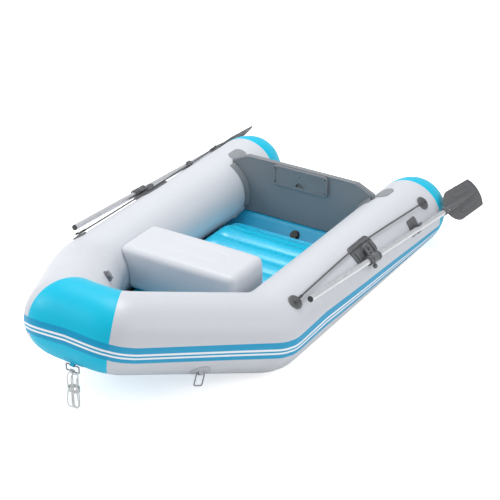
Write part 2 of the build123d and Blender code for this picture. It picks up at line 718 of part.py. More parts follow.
def inner_shaft():
    """Grip half of the shaft, swaged down to a spigot for the blade half."""
    tube = rod(oar_point(GRIP_END), OAR, SHAFT_SPLIT - GRIP_END, SHAFT_R)
    spigot = rod(oar_point(SHAFT_SPLIT - 1), OAR, SPIGOT_LENGTH + 1, SPIGOT_R)
    tube = tube + spigot
    tube = tube - rod(oar_point(GRIP_END - 1), OAR, SHAFT_SPLIT - GRIP_END - 3, SHAFT_R - SHAFT_WALL)
    tube = tube - rod(oar_point(GRIP_END), OAR, 3000, SPIGOT_R - SHAFT_WALL)
    return tube - button_hole(SPLIT_BUTTON)


def outer_shaft():
    start = SHAFT_SPLIT + GAP
    length = SOCKET_START + SOCKET_DEPTH - GAP - start
    tube = rod(oar_point(start), OAR, length, SHAFT_R)
    tube = tube - rod(oar_point(start - 1), OAR, length + 2, SHAFT_R - SHAFT_WALL)
    return tube - button_hole(SPLIT_BUTTON) - button_hole(BLADE_BUTTON)


def grip_cap():
    cap = rod(oar_point(GRIP_END - 4 - GAP), OAR, 4, SHAFT_R)
    cap = chamfer(cap.faces().sort_by(Axis.Y)[0].edges(), 1.2)
    return cap + rod(oar_point(GRIP_END - 1 - GAP), OAR, 24, SHAFT_R - SHAFT_WALL - 0.2)


def oar_blade():
    """Ribbed blade with a socket that tapers into its spine."""
    tilt = math.radians(BLADE_TILT)
    across = square_to_oar(Vector(-math.sin(tilt), 0, math.cos(tilt)))
    face = Plane(origin=COLLAR, x_dir=OAR, z_dir=OAR.cross(across))
    neck = SOCKET_START + 30
    shoulder = (neck + BLADE_SHOULDER) / 2 - 20
    upper = ThreePointArc((neck, SOCKET_R - 3), (shoulder, BLADE_HALF * 0.74), (BLADE_SHOULDER, BLADE_HALF))
    side = Line((BLADE_SHOULDER, BLADE_HALF), (BLADE_CORNER, BLADE_TIP_HALF))
    tip = ThreePointArc((BLADE_CORNER, BLADE_TIP_HALF), (BLADE_TIP, 0), (BLADE_CORNER, -BLADE_TIP_HALF))
    root = Line((neck, 3 - SOCKET_R), (neck, SOCKET_R - 3))
    half = upper + side
    outline = make_face(half + tip + mirror(half, Plane.XZ) + root)
    plate = extrude(face * outline, BLADE_T / 2, both=True)
    rim_outline = offset(outline, -9)
    for side_sign in (-1, 1):
        hollow = extrude(face * rim_outline, BLADE_T)
        plate = plate - Pos(*(face.z_dir * (BLADE_T / 2 - 1 if side_sign > 0 else -BLADE_T * 1.5 + 1))) * hollow
    blade = plate + rod(oar_point(SOCKET_START), OAR, SOCKET_DEPTH + 30, SOCKET_R)
    spine_start = SOCKET_START + SOCKET_DEPTH + 30
    spine_base = Plane(origin=oar_point(spine_start), z_dir=OAR)
    spine_length = BLADE_TIP - 14 - spine_start
    blade = blade + Solid.make_cone(SOCKET_R, SPINE_TIP_R, spine_length, spine_base)
    blade = blade - rod(oar_point(SOCKET_START - 1), OAR, SOCKET_DEPTH + 1, SHAFT_R + 0.15)
    return blade - button_hole(BLADE_BUTTON)


def snap_button(distance, outer_r, bore_r):
    """Sprung locking button with a flange that stays inside the tube."""
    centre = oar_point(distance)
    inside = bore_r - GAP - BUTTON_FLANGE_T - 1.2
    stem = rod(centre + OUTBOARD * inside, OUTBOARD, outer_r + BUTTON_PROUD - inside, BUTTON_R)
    stem = chamfer(stem.faces().sort_by(lambda f: f.center().dot(OUTBOARD))[-1].edges(), 1)
    return stem + rod(centre + OUTBOARD * inside, OUTBOARD, BUTTON_FLANGE_T, BUTTON_FLANGE_R)


def oar_clip():
    """Cradle on a glued pad: the shaft leaves it outboard and downwards."""
    centre = oar_point(CLIP_REACH)
    along = Vector(0, 1, 0)
    normal = side_normal(CLIP_PAD_ANGLE)
    frame = Plane(origin=Vector(SIDE_X, centre.Y, TUBE_R), x_dir=along, z_dir=normal)
    column = extrude(frame * RectangleRounded(CLIP_PAD_LENGTH, CLIP_PAD_WIDTH, 12), TUBE_R + 60)
    pad = column & side_solid(TUBE_R + GAP + CLIP_PAD_T)
    outer = CLIP_R + CLIP_WALL
    ring_start = centre - OAR * (CLIP_WIDTH / 2)
    ring = rod(ring_start, OAR, CLIP_WIDTH, outer)
    cross = Plane(origin=ring_start, x_dir=(1, 0, 0), z_dir=OAR)
    sweep_points = [(0, 0)]
    for angle in (CLIP_TOP_ANGLE, 120, 160, 200, CLIP_LOW_ANGLE):
        a = math.radians(angle)
        sweep_points.append((3 * outer * math.cos(a), -3 * outer * math.sin(a)))
    wedge = extrude(cross * make_face(Polyline(*sweep_points, (0, 0))), CLIP_WIDTH)
    jaw = ring & wedge
    a = math.radians(CLIP_LOW_ANGLE)
    low = Vector(math.cos(a), 0, math.sin(a))
    exit_dir = Vector(-math.sin(a), 0, math.cos(a))
    tongue_frame = Plane(origin=centre + low * (CLIP_R + CLIP_WALL / 2), x_dir=OAR, z_dir=exit_dir)
    jaw = jaw + extrude(tongue_frame * Rectangle(CLIP_WIDTH, CLIP_WALL), CLIP_TONGUE)
    stem_dir = (centre - Vector(SIDE_X, centre.Y, TUBE_R)).normalized()
    stem_frame = Plane(origin=centre - stem_dir * (CLIP_R + 30), x_dir=OAR, z_dir=stem_dir)
    stem = extrude(stem_frame * RectangleRounded(CLIP_WIDTH - 4, 24, 4), 30)
    clip = conformal(pad + jaw + stem)
    return clip - rod(centre - OAR * CLIP_WIDTH, OAR, 2 * CLIP_WIDTH, CLIP_R)


def oars():
    save_pair("rowlock_base", rowlock_base())
    save_pair("rowlock_yoke", rowlock_yoke())
    save_pair("rowlock_pin", rowlock_pin())
    save_pair("oar_collar", oar_collar())
    save_pair("collar_knob", collar_knob())
    save_pair("inner_shaft", inner_shaft())
    save_pair("outer_shaft", outer_shaft())
    save_pair("grip_cap", grip_cap())
    save_pair("oar_blade", oar_blade())
    save_pair("shaft_button", snap_button(SPLIT_BUTTON, SHAFT_R, SPIGOT_R - SHAFT_WALL))
    save_pair("blade_button", snap_button(BLADE_BUTTON, SOCKET_R, SHAFT_R - SHAFT_WALL))
    save_pair("oar_clip", oar_clip())


# ---------------------------------------------------------------- tow rings and hank
def ring_solid(bar_centre, bar_dir, width, drop):
    side = bar_dir.normalized()
    down = (UP * -1 + side * side.Z).normalized()
    frame = Plane(origin=bar_centre, x_dir=side, z_dir=side.cross(down))
    profile = RectangleRounded(width, drop, min(width, drop) * RING_CORNER_SHARE)
    sign = 1 if frame.y_dir.dot(down) > 0 else -1
    centre_line = Pos(0, sign * drop / 2) * profile
    wire = centre_line.wire()
    wire = frame * wire
    start = wire.position_at(0)
    return sweep(Plane(origin=start, z_dir=wire.tangent_at(0)) * Circle(RING_WIRE_R), path=wire)


def tab_block(origin, normal, bar_dir, bar_centre, cutter):
    """Webbing tab that wraps the ring's bar and runs back to its patch."""
    reach = (bar_centre - origin).length + TAB_DEPTH / 2
    frame = Plane(origin=origin - normal * 4, x_dir=bar_dir, z_dir=normal)
    block = extrude(frame * Rectangle(TAB_LENGTH, TAB_DEPTH), reach + 4)
    block = block - rod(bar_centre - bar_dir * TAB_LENGTH, bar_dir, 2 * TAB_LENGTH, RING_WIRE_R + 0.4)
    return block - cutter


def rings():
    origin, normal = bow_frame(RING_SHARE, RING_ANGLE)
    bar_centre = origin + normal * 9
    patch = rod(origin - normal * 12, normal, 20, RING_PATCH_R)
    patch = (patch & bow_solid(TUBE_R + GAP + PATCH_T)) - bow_solid(TUBE_R + GAP)
    port_patch = patch + tab_block(origin, normal, BOW_DIR, bar_centre, bow_solid(TUBE_R + GAP))
    nose_normal = Vector(0, -math.cos(math.radians(NOSE_RING_ANGLE)), math.sin(math.radians(NOSE_RING_ANGLE)))
    nose_origin = Vector(0, NOSE_Y, NOSE_Z) + nose_normal * TUBE_R
    nose_bar = nose_origin + nose_normal * 9
    nose_bow = tube_cutters(TUBE_R + GAP)[4]
    nose_skin = tube_cutters(TUBE_R + GAP + PATCH_T)[4]
    nose_patch = (rod(nose_origin - nose_normal * 12, nose_normal, 20, RING_PATCH_R) & nose_skin) - nose_bow
    across = Vector(1, 0, 0)
    nose_patch = nose_patch + tab_block(nose_origin, nose_normal, across, nose_bar, nose_bow)
    save("ring_patches", Compound(children=[port_patch, mirrored(port_patch), nose_patch]))
    save_pair("bow_ring", ring_solid(bar_centre, BOW_DIR, RING_WIDTH, RING_DROP))
    nose_ring = ring_solid(nose_bar, across, NOSE_RING_WIDTH, NOSE_RING_DROP)
    save("nose_ring", nose_ring)
    print("ring bars:", bar_centre, nose_bar)
    top = nose_bar - UP * (NOSE_RING_DROP - RING_WIRE_R - GAP - HANK_TOP_GAP)
    step = HANK_LENGTH / (len(HANK_HALF_WIDTHS) - 1)
    sections = []
    for i, half in enumerate(HANK_HALF_WIDTHS):
        frame = Plane(origin=top - UP * (step * i), x_dir=(1, 0, 0), z_dir=(0, 0, -1))
        sections.append(frame * Ellipse(half, half * HANK_DEPTH_SHARE))
    hank = loft(sections)
    hank = hank - rod(nose_bar - UP * NOSE_RING_DROP - across * 60, across, 120, RING_WIRE_R + GAP)
    save("painter_hank", hank)


def main():
    os.makedirs("parts", exist_ok=True)
    hull_tubes()
    save_pair("stern_cone", cone_solid(0) - cone_solid(SKIN))
    save("bottom_skin", bottom_skin())
    air_floor()
    save("transom_board", transom_board())
    save("transom_lobes", transom_lobes())
    save("motor_pad", motor_pad())
    save("pad_screws", pad_screws())
    save("outer_motor_plate", outer_motor_plate())
    seat()
    valves()
    save_pair("line_discs", Compound(children=[line_disc(BOW_DISC_Y, BOW_DISC_ANGLE),
                                               line_disc(STERN_DISC_Y, STERN_DISC_ANGLE)]))
    save_pair("grab_line", grab_line())
    oars()
    rings()


main()
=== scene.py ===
"""Looks of the inflatable dinghy: coated-fabric skins, cords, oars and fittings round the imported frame.

Metres, +Z up, bow towards -Y, port towards +X.
"""

import math

import bmesh
import bpy
import numpy as np
from mathutils import Matrix, Vector


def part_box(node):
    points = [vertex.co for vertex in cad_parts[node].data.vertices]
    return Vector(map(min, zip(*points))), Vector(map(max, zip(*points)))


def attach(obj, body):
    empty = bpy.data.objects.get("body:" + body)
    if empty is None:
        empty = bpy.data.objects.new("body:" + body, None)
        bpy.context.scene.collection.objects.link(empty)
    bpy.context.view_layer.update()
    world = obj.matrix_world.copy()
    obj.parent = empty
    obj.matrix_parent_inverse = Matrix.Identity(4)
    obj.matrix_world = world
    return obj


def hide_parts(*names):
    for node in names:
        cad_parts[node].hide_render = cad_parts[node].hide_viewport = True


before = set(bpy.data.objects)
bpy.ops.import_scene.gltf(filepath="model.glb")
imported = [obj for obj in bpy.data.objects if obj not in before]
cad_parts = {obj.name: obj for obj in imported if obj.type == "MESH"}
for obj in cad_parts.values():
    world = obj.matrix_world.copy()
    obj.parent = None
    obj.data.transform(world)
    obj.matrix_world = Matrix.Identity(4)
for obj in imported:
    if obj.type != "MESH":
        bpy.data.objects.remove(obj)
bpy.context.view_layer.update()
for stray in list(bpy.context.selected_objects):
    stray.select_set(False)

# ---- places read from the frame ----
cone_lo, cone_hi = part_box("port_stern_cone")
nose_lo, nose_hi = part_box("nose_tube")
TUBE_R = (cone_hi.z - cone_lo.z) / 2
SIDE_X = (cone_hi.x + cone_lo.x) / 2
TAIL = Vector((SIDE_X, cone_lo.y, TUBE_R))
STERN_Y = cone_hi.y
NOSE_Y = (nose_lo.y + nose_hi.y) / 2
NOSE_Z = (nose_lo.z + nose_hi.z) / 2
NOSE_HALF = 0.126
BEND_Y = -0.384
BEND = Vector((SIDE_X, BEND_Y, TUBE_R))
NOSE = Vector((NOSE_HALF, NOSE_Y, NOSE_Z))
FORWARD = Vector((0, -1, 0))
INWARD = Vector((-1, 0, 0))
BOW_DIR = (NOSE - BEND).normalized()
AROUND = 96                     # points round a tube
RING_STEP = 0.016               # between a tube's rings
FLOOR_LIFT = 0.62               # the studio floor's own glow, seen by the camera only


# ================================================================ camera, light, floor
def make_camera():
    azimuth, elevation, roll = 0.5510976, 0.4833726, 0.0062053
    target, distance = Vector((0.1632, 0.00828, 0.31312)), 7.0168
    right = Vector((math.cos(azimuth), math.sin(azimuth), 0))
    back = Vector((math.sin(azimuth) * math.cos(elevation), -math.cos(azimuth) * math.cos(elevation),
                   math.sin(elevation)))
    up = back.cross(right)
    right_r = right * math.cos(roll) + up * math.sin(roll)
    up_r = up * math.cos(roll) - right * math.sin(roll)
    data = bpy.data.cameras.new("camera")
    data.lens, data.sensor_width = 110.84, 36
    camera = bpy.data.objects.new("camera", data)
    bpy.context.scene.collection.objects.link(camera)
    turned = Matrix((right_r, up_r, back)).transposed().to_4x4()
    camera.matrix_world = Matrix.Translation(target + back * distance) @ turned
    bpy.context.scene.camera = camera


def area_light(name, place, aim, size, power, colour=(1, 1, 1)):
    data = bpy.data.lights.new(name, "AREA")
    data.shape, data.size, data.energy, data.color = "DISK", size, power, colour
    lamp = bpy.data.objects.new(name, data)
    bpy.context.scene.collection.objects.link(lamp)
    lamp.location = place
    lamp.rotation_mode = "QUATERNION"
    lamp.rotation_quaternion = (Vector(aim) - Vector(place)).to_track_quat("-Z", "Y")


def make_studio():
    bpy.context.scene.view_settings.view_transform = "Standard"
    world = bpy.data.worlds.new("studio")
    bpy.context.scene.world = world
    world.use_nodes = True
    background = world.node_tree.nodes["Background"]
    background.inputs["Color"].default_value = (0.97, 0.98, 1.0, 1)
    background.inputs["Strength"].default_value = 0.66
    area_light("soft_top", (-0.9, 0.9, 4.4), (0, 0, 0.1), 2.6, 108)
    area_light("soft_left", (-3.8, -2.4, 2.8), (0, -0.2, 0.2), 2.0, 62)
    area_light("soft_right", (4.6, 0.4, 2.6), (0.2, 0, 0.2), 2.0, 34)
    bpy.ops.mesh.primitive_plane_add(size=60, location=(0, 0, -0.0005))
    floor = bpy.context.object
    floor.name = "studio_floor"
    pale, tree, shader = start_material("studio_floor")
    shader.inputs["Base Color"].default_value = (0.97, 0.97, 0.97, 1)
    shader.inputs["Roughness"].default_value = 0.75
    shader.inputs["Emission Color"].default_value = (1, 1, 1, 1)
    seen = tree.nodes.new("ShaderNodeLightPath").outputs["Is Camera Ray"]
    tree.links.new(maths(tree, "MULTIPLY", seen, FLOOR_LIFT), shader.inputs["Emission Strength"])
    floor.data.materials.append(pale)
    floor.select_set(False)


# ================================================================ shader helpers and node groups
def new_group(name, inputs, outputs):
    """A shader group with named sockets; inputs are (name, type, default)."""
    tree = bpy.data.node_groups.new(name, "ShaderNodeTree")
    for label, kind, default in inputs:
        socket = tree.interface.new_socket(label, in_out="INPUT", socket_type=kind)
        socket.default_value = default
    for label, kind in outputs:
        tree.interface.new_socket(label, in_out="OUTPUT", socket_type=kind)
    return tree, tree.nodes.new("NodeGroupInput"), tree.nodes.new("NodeGroupOutput")


def node(tree, kind, links=(), **settings):
    """A node with settings, and links given as (input, source socket or value)."""
    made = tree.nodes.new(kind)
    for key, value in settings.items():
        setattr(made, key, value)
    for where, source in links:
        if isinstance(source, bpy.types.NodeSocket):
            tree.links.new(source, made.inputs[where])
        else:
            made.inputs[where].default_value = source
    return made


def maths(tree, operation, *values):
    return node(tree, "ShaderNodeMath", list(enumerate(values)), operation=operation).outputs[0]


def place_on(tree):
    return tree.nodes.new("ShaderNodeTexCoord").outputs["Object"]


def blend(tree, share, first, second):
    return node(tree, "ShaderNodeMix", [(0, share), (6, first), (7, second)], data_type="RGBA").outputs[2]


def start_material(name):
    made = bpy.data.materials.new(name)
    made.use_nodes = True
    return made, made.node_tree, made.node_tree.nodes["Principled BSDF"]


F, C = "NodeSocketFloat", "NodeSocketColor"


def tone_group():
    """Cloudy change of colour and gloss over a surface, with handling marks."""
    tree, given, out = new_group("cloudy_tone", [("Color", C, (0.8, 0.8, 0.8, 1)), ("Marks", C, (0.6, 0.6, 0.6, 1)),
                                                 ("Scale", F, 4.0), ("Amount", F, 0.2), ("Gloss", F, 0.4),
                                                 ("Gloss Spread", F, 0.1)],
                                 [("Color", C), ("Roughness", F)])
    where = place_on(tree)
    broad = node(tree, "ShaderNodeTexNoise", [("Vector", where), ("Scale", given.outputs["Scale"]), ("Detail", 4.0),
                                              ("Roughness", 0.6)])
    fine_scale = maths(tree, "MULTIPLY", given.outputs["Scale"], 9.0)
    fine = node(tree, "ShaderNodeTexNoise", [("Vector", where), ("Scale", fine_scale), ("Detail", 3.0)])
    both = maths(tree, "ADD", maths(tree, "MULTIPLY", broad.outputs["Fac"], 0.7),
                 maths(tree, "MULTIPLY", fine.outputs["Fac"], 0.3))
    spread = node(tree, "ShaderNodeMapRange", [("Value", both), ("From Min", 0.4), ("From Max", 0.68)])
    share = maths(tree, "MULTIPLY", spread.outputs[0], given.outputs["Amount"])
    mixed = blend(tree, share, given.outputs["Color"], given.outputs["Marks"])
    tree.links.new(mixed, out.inputs["Color"])
    gloss = maths(tree, "ADD", given.outputs["Gloss"],
                  maths(tree, "MULTIPLY", maths(tree, "SUBTRACT", fine.outputs["Fac"], 0.5),
                        given.outputs["Gloss Spread"]))
    tree.links.new(gloss, out.inputs["Roughness"])
    return tree


def cloth_group():
    """Print-through of the base cloth under a coating, with soft hand ripples."""
    tree, given, out = new_group("base_cloth", [("Threads", F, 900.0), ("Ripple", F, 0.3)], [("Height", F)])
    where = place_on(tree)
    lines = []
    for turn in ((0.6, 0.3, 0.2), (0.6, 0.3, 1.77)):
        turned = node(tree, "ShaderNodeMapping", [("Vector", where), ("Rotation", turn)]).outputs[0]
        lines.append(node(tree, "ShaderNodeTexWave", [("Vector", turned), ("Scale", given.outputs["Threads"]),
                                                      ("Distortion", 0.6), ("Detail", 1.0)]).outputs["Fac"])
    weave = maths(tree, "MULTIPLY", maths(tree, "MULTIPLY", lines[0], lines[1]), 0.5)
    soft = node(tree, "ShaderNodeTexNoise", [("Vector", where), ("Scale", 26.0), ("Detail", 2.0)]).outputs["Fac"]
    total = maths(tree, "ADD", weave, maths(tree, "MULTIPLY", soft, given.outputs["Ripple"]))
    tree.links.new(total, out.inputs["Height"])
    return tree


def grain_group():
    """Fine pebble of a moulded surface."""
    tree, given, out = new_group("moulded_grain", [("Scale", F, 700.0)], [("Height", F)])
    where = place_on(tree)
    cells = node(tree, "ShaderNodeTexVoronoi", [("Vector", where), ("Scale", given.outputs["Scale"])])
    soft = node(tree, "ShaderNodeTexNoise", [("Vector", where), ("Scale", 160.0), ("Detail", 3.0)]).outputs["Fac"]
    tree.links.new(maths(tree, "ADD", maths(tree, "MULTIPLY", cells.outputs["Distance"], 0.6), soft),
                   out.inputs["Height"])
    return tree


def drawn_group():
    """Fine draw lines along the boat, as on extruded tube and wire."""
    tree, given, out = new_group("draw_lines", [("Scale", F, 300.0)], [("Height", F), ("Roughness", F)])
    stretched = node(tree, "ShaderNodeMapping", [("Vector", place_on(tree)), ("Scale", (1, 0.02, 1))]).outputs[0]
    lines = node(tree, "ShaderNodeTexNoise", [("Vector", stretched), ("Scale", given.outputs["Scale"]),
                                              ("Detail", 4.0)]).outputs["Fac"]
    tree.links.new(lines, out.inputs["Height"])
    tree.links.new(maths(tree, "ADD", maths(tree, "MULTIPLY", lines, 0.25), 0.17), out.inputs["Roughness"])
    return tree


def wet_edge_group():
    """Dust and dried splash gathered low on the hull."""
    tree, given, out = new_group("low_dust", [("Reach", F, 0.09), ("Amount", F, 0.3)], [("Mask", F)])
    where = place_on(tree)
    height = node(tree, "ShaderNodeSeparateXYZ", [("Vector", where)]).outputs["Z"]
    patchy = node(tree, "ShaderNodeTexNoise", [("Vector", where), ("Scale", 18.0), ("Detail", 6.0)]).outputs["Fac"]
    fall = maths(tree, "SUBTRACT", 1.0, maths(tree, "DIVIDE", height, given.outputs["Reach"]))
    low = node(tree, "ShaderNodeClamp", [("Value", fall)]).outputs[0]
    tree.links.new(maths(tree, "MULTIPLY", maths(tree, "MULTIPLY", low, patchy), given.outputs["Amount"]),
                   out.inputs["Mask"])
    return tree


def band_group():
    """One where a coordinate lies between two values."""
    tree, given, out = new_group("printed_band", [("Across", F, 0.0), ("Low", F, 0.0), ("High", F, 1.0)],
                                 [("Mask", F)])
    above = maths(tree, "GREATER_THAN", given.outputs["Across"], given.outputs["Low"])
    below = maths(tree, "LESS_THAN", given.outputs["Across"], given.outputs["High"])
    tree.links.new(maths(tree, "MULTIPLY", above, below), out.inputs["Mask"])
    return tree


TONE, CLOTH, GRAIN, DRAWN = tone_group(), cloth_group(), grain_group(), drawn_group()
DUST, BAND = wet_edge_group(), band_group()


def use(tree, group, **values):
    made = tree.nodes.new("ShaderNodeGroup")
    made.node_tree = group
    for key, value in values.items():
        label = key.replace("_", " ")
        if isinstance(value, bpy.types.NodeSocket):
            tree.links.new(value, made.inputs[label])
        else:
            made.inputs[label].default_value = value
    return made


def bump(tree, shader, height, strength, distance):
    made = node(tree, "ShaderNodeBump", [("Height", height), ("Strength", strength), ("Distance", distance)])
    tree.links.new(made.outputs["Normal"], shader.inputs["Normal"])


STRIPE = (0.0, 0.33, 0.58, 1)
PINSTRIPE = (0.86, 0.9, 0.93, 1)
DRIED_SPLASH = (0.42, 0.42, 0.41, 1)
PANEL_DEGREES = 100             # degrees round a tube in one unit of its panel map
# the band's edges and its two light lines, as low, high and paint
BAND_LINES = ((-0.25, 0.0, STRIPE), (-0.127, -0.095, PINSTRIPE), (-0.183, -0.153, PINSTRIPE))


def start_toned(name, **tone_values):
    """A material with the cloudy tone's colour; its gloss too unless another is linked later."""
    made, tree, shader = start_material(name)
    tone = use(tree, TONE, **tone_values)
    tree.links.new(tone.outputs["Color"], shader.inputs["Base Color"])
    tree.links.new(tone.outputs["Roughness"], shader.inputs["Roughness"])
    return made, tree, shader, tone.outputs["Color"]


def coated_cloth(name, colour, marks, gloss=0.42, stripe=False, bow_colour=None, coat=0.12, dust=0.3, shine=0.5):
    """Coated boat fabric; the hull's panels carry the printed band."""
    made, tree, shader, colour_out = start_toned(name, Color=colour, Marks=marks, Scale=3.5, Amount=0.35, Gloss=gloss,
                                                 Gloss_Spread=0.16)
    if bow_colour:
        along = node(tree, "ShaderNodeSeparateXYZ", [("Vector", place_on(tree))]).outputs["Y"]
        at_nose = use(tree, BAND, Across=along, Low=-2.0, High=-0.95).outputs["Mask"]
        colour_out = blend(tree, at_nose, colour_out, bow_colour)
    if stripe:
        across = node(tree, "ShaderNodeSeparateXYZ",
                      [("Vector", node(tree, "ShaderNodeUVMap", uv_map="panel").outputs[0])]).outputs["Y"]
        for low, high, paint in BAND_LINES:
            mask = use(tree, BAND, Across=across, Low=low, High=high).outputs["Mask"]
            colour_out = blend(tree, mask, colour_out, paint)
    low_dust = use(tree, DUST, Reach=0.11, Amount=dust).outputs["Mask"]
    tree.links.new(blend(tree, low_dust, colour_out, DRIED_SPLASH), shader.inputs["Base Color"])
    shader.inputs["Specular IOR Level"].default_value = shine
    shader.inputs["Coat Weight"].default_value = coat
    shader.inputs["Coat Roughness"].default_value = 0.3
    bump(tree, shader, use(tree, CLOTH, Threads=900.0, Ripple=0.8).outputs["Height"], 0.16, 0.0008)
    return made


def moulded(name, colour, marks, gloss=0.45, scale=700.0):
    made, tree, shader, _ = start_toned(name, Color=colour, Marks=marks, Scale=14.0, Amount=0.5, Gloss=gloss,
                                        Gloss_Spread=0.25)
    bump(tree, shader, use(tree, GRAIN, Scale=scale).outputs["Height"], 0.25, 0.0004)
    return made


def metal(name, colour, scale=300.0):
    made, tree, shader, _ = start_toned(name, Color=colour, Marks=tuple(c * 0.8 for c in colour[:3]) + (1,),
                                        Scale=20.0, Amount=0.4)
    drawn = use(tree, DRAWN, Scale=scale)
    tree.links.new(drawn.outputs["Roughness"], shader.inputs["Roughness"])
    shader.inputs["Metallic"].default_value = 1.0
    bump(tree, shader, drawn.outputs["Height"], 0.12, 0.0002)
    return made


def rope_cloth(name, colour, marks):
    """Yarns laid across the rope's own length and girth."""
    made, tree, shader, _ = start_toned(name, Color=colour, Marks=marks, Scale=60.0, Amount=0.9, Gloss=0.75,
                                        Gloss_Spread=0.1)
    shader.inputs["Sheen Weight"].default_value = 0.25
    place = node(tree, "ShaderNodeUVMap", uv_map="panel").outputs[0]
    turned = node(tree, "ShaderNodeMapping", [("Vector", place), ("Rotation", (0, 0, 0.7))]).outputs[0]
    yarn = node(tree, "ShaderNodeTexWave", [("Vector", turned), ("Scale", 700.0), ("Distortion", 1.5),
                                            ("Detail", 2.0)]).outputs["Fac"]
    bump(tree, shader, yarn, 0.5, 0.0004)
    return made


HULL_GREY = coated_cloth("hull_grey", (0.62, 0.638, 0.678, 1), (0.57, 0.588, 0.628, 1), stripe=True)
BOW_BLUE = coated_cloth("bow_blue", (0.0, 0.52, 0.74, 1), (0.0, 0.48, 0.70, 1), gloss=0.38, stripe=True, coat=0.02,
                        dust=0.04, shine=0.25)
CONE_BLUE = coated_cloth("cone_blue", (0.0, 0.52, 0.74, 1), (0.0, 0.48, 0.70, 1), gloss=0.38, coat=0.02, dust=0.04,
                         shine=0.25)
BOTTOM_BLUE = coated_cloth("bottom_blue", (0.0, 0.36, 0.60, 1), (0.0, 0.31, 0.55, 1), gloss=0.4, dust=0.15)
FLOOR_BLUE = coated_cloth("floor_blue", (0.0, 0.53, 0.78, 1), (0.0, 0.48, 0.74, 1), gloss=0.26, coat=0.45, dust=0.0)
SEAT_GREY = coated_cloth("seat_grey", (0.64, 0.657, 0.697, 1), (0.59, 0.607, 0.647, 1), dust=0.0)
TRANSOM_GREY = coated_cloth("transom_grey", (0.205, 0.22, 0.238, 1), (0.235, 0.25, 0.268, 1), gloss=0.55, coat=0.05,
                            dust=0.0)
PATCH_GREY = coated_cloth("patch_grey", (0.27, 0.285, 0.305, 1), (0.23, 0.245, 0.265, 1), gloss=0.5, dust=0.0)
RING_PATCH = coated_cloth("ring_patch", (0.5, 0.515, 0.55, 1), (0.45, 0.465, 0.5, 1), gloss=0.5,
                          bow_colour=(0.0, 0.44, 0.66, 1))
WEB_CLOTH = coated_cloth("inner_web", (0.5, 0.5, 0.5, 1), (0.4, 0.4, 0.4, 1), dust=0.0)
PAD_PLASTIC = moulded("pad_plastic", (0.19, 0.2, 0.215, 1), (0.24, 0.25, 0.265, 1), gloss=0.45)
ROWLOCK_PLASTIC = moulded("rowlock_plastic", (0.115, 0.12, 0.127, 1), (0.16, 0.165, 0.172, 1), gloss=0.42)
BLADE_PLASTIC = moulded("blade_plastic", (0.105, 0.108, 0.113, 1), (0.14, 0.143, 0.148, 1), gloss=0.5, scale=500.0)
KNOB_PLASTIC = moulded("knob_plastic", (0.125, 0.13, 0.137, 1), (0.16, 0.16, 0.166, 1), gloss=0.35)
BLACK_PLASTIC = moulded("black_plastic", (0.012, 0.013, 0.015, 1), (0.03, 0.03, 0.033, 1), gloss=0.38)
DISC_RUBBER = moulded("disc_rubber", (0.13, 0.135, 0.14, 1), (0.18, 0.185, 0.19, 1), gloss=0.6)
GRIP_PLASTIC = moulded("grip_plastic", (0.045, 0.047, 0.05, 1), (0.08, 0.08, 0.085, 1), gloss=0.5)
ALUMINIUM = metal("shaft_aluminium", (0.83, 0.84, 0.86, 1))
STEEL = metal("button_steel", (0.62, 0.63, 0.65, 1), scale=900.0)
RING_STEEL = metal("ring_steel", (0.3, 0.3, 0.31, 1), scale=900.0)
GRAB_ROPE = rope_cloth("grab_rope", (0.065, 0.067, 0.07, 1), (0.13, 0.13, 0.135, 1))
PAINTER_ROPE = rope_cloth("painter_rope", (0.82, 0.81, 0.78, 1), (0.70, 0.69, 0.66, 1))


make_camera()
make_studio()


# ================================================================ building helpers
MERGE = 0.00005                 # points nearer than this are one


def finish_piece(piece, material, body, slot, *stands_for):
    """Material, smooth faces, the body it rides on and what it stands for."""
    piece.data.materials.clear()
    piece.data.materials.append(material)
    for face in piece.data.polygons:
        face.use_smooth = True
    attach(piece, body)
    if stands_for:
        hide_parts(*stands_for)
    return piece


def grid_piece(name, points, across, wrap):
    """A quad skin from an array of rows; across gives each row's second map coordinate."""
    rows, columns = points.shape[:2]
    mesh = bpy.data.meshes.new(name)
    faces, places = [], []
    lengths = np.zeros(rows)
    lengths[1:] = np.cumsum(np.linalg.norm(np.diff(points.mean(axis=1), axis=0), axis=1))
    last = columns if wrap else columns - 1
    for i in range(rows - 1):
        for k in range(last):
            n = (k + 1) % columns
            faces.append((i * columns + k, i * columns + n, (i + 1) * columns + n, (i + 1) * columns + k))
            places += [(lengths[i], across[i][k]), (lengths[i], across[i][k + 1]),
                       (lengths[i + 1], across[i + 1][k + 1]), (lengths[i + 1], across[i + 1][k])]
    mesh.from_pydata(points.reshape(-1, 3).tolist(), [], faces)
    layer = mesh.uv_layers.new(name="panel")
    layer.data.foreach_set("uv", np.array(places, np.float32).ravel())
    piece = bpy.data.objects.new(name, mesh)
    bpy.context.scene.collection.objects.link(piece)
    return piece


def rework(piece, edit):
    """Edits a mesh, then turns all its faces outwards."""
    shape = bmesh.new()
    shape.from_mesh(piece.data)
    edit(shape)
    bmesh.ops.recalc_face_normals(shape, faces=shape.faces)
    shape.to_mesh(piece.data)
    shape.free()


def apply_modifier(piece, kind, **settings):
    modifier = piece.modifiers.new("applied", kind)
    for key, value in settings.items():
        setattr(modifier, key, value)
    bpy.context.view_layer.objects.active = piece
    bpy.ops.object.modifier_apply(modifier="applied")


def mirror_copy(piece, name):
    """The same piece on the other side of the boat."""
    twin = piece.copy()
    twin.data = piece.data.copy()
    twin.name = twin.data.name = name
    twin.parent = None
    bpy.context.scene.collection.objects.link(twin)
    twin.data.transform(Matrix.Scale(-1, 4, (1, 0, 0)))
    twin.data.flip_normals()
    return twin


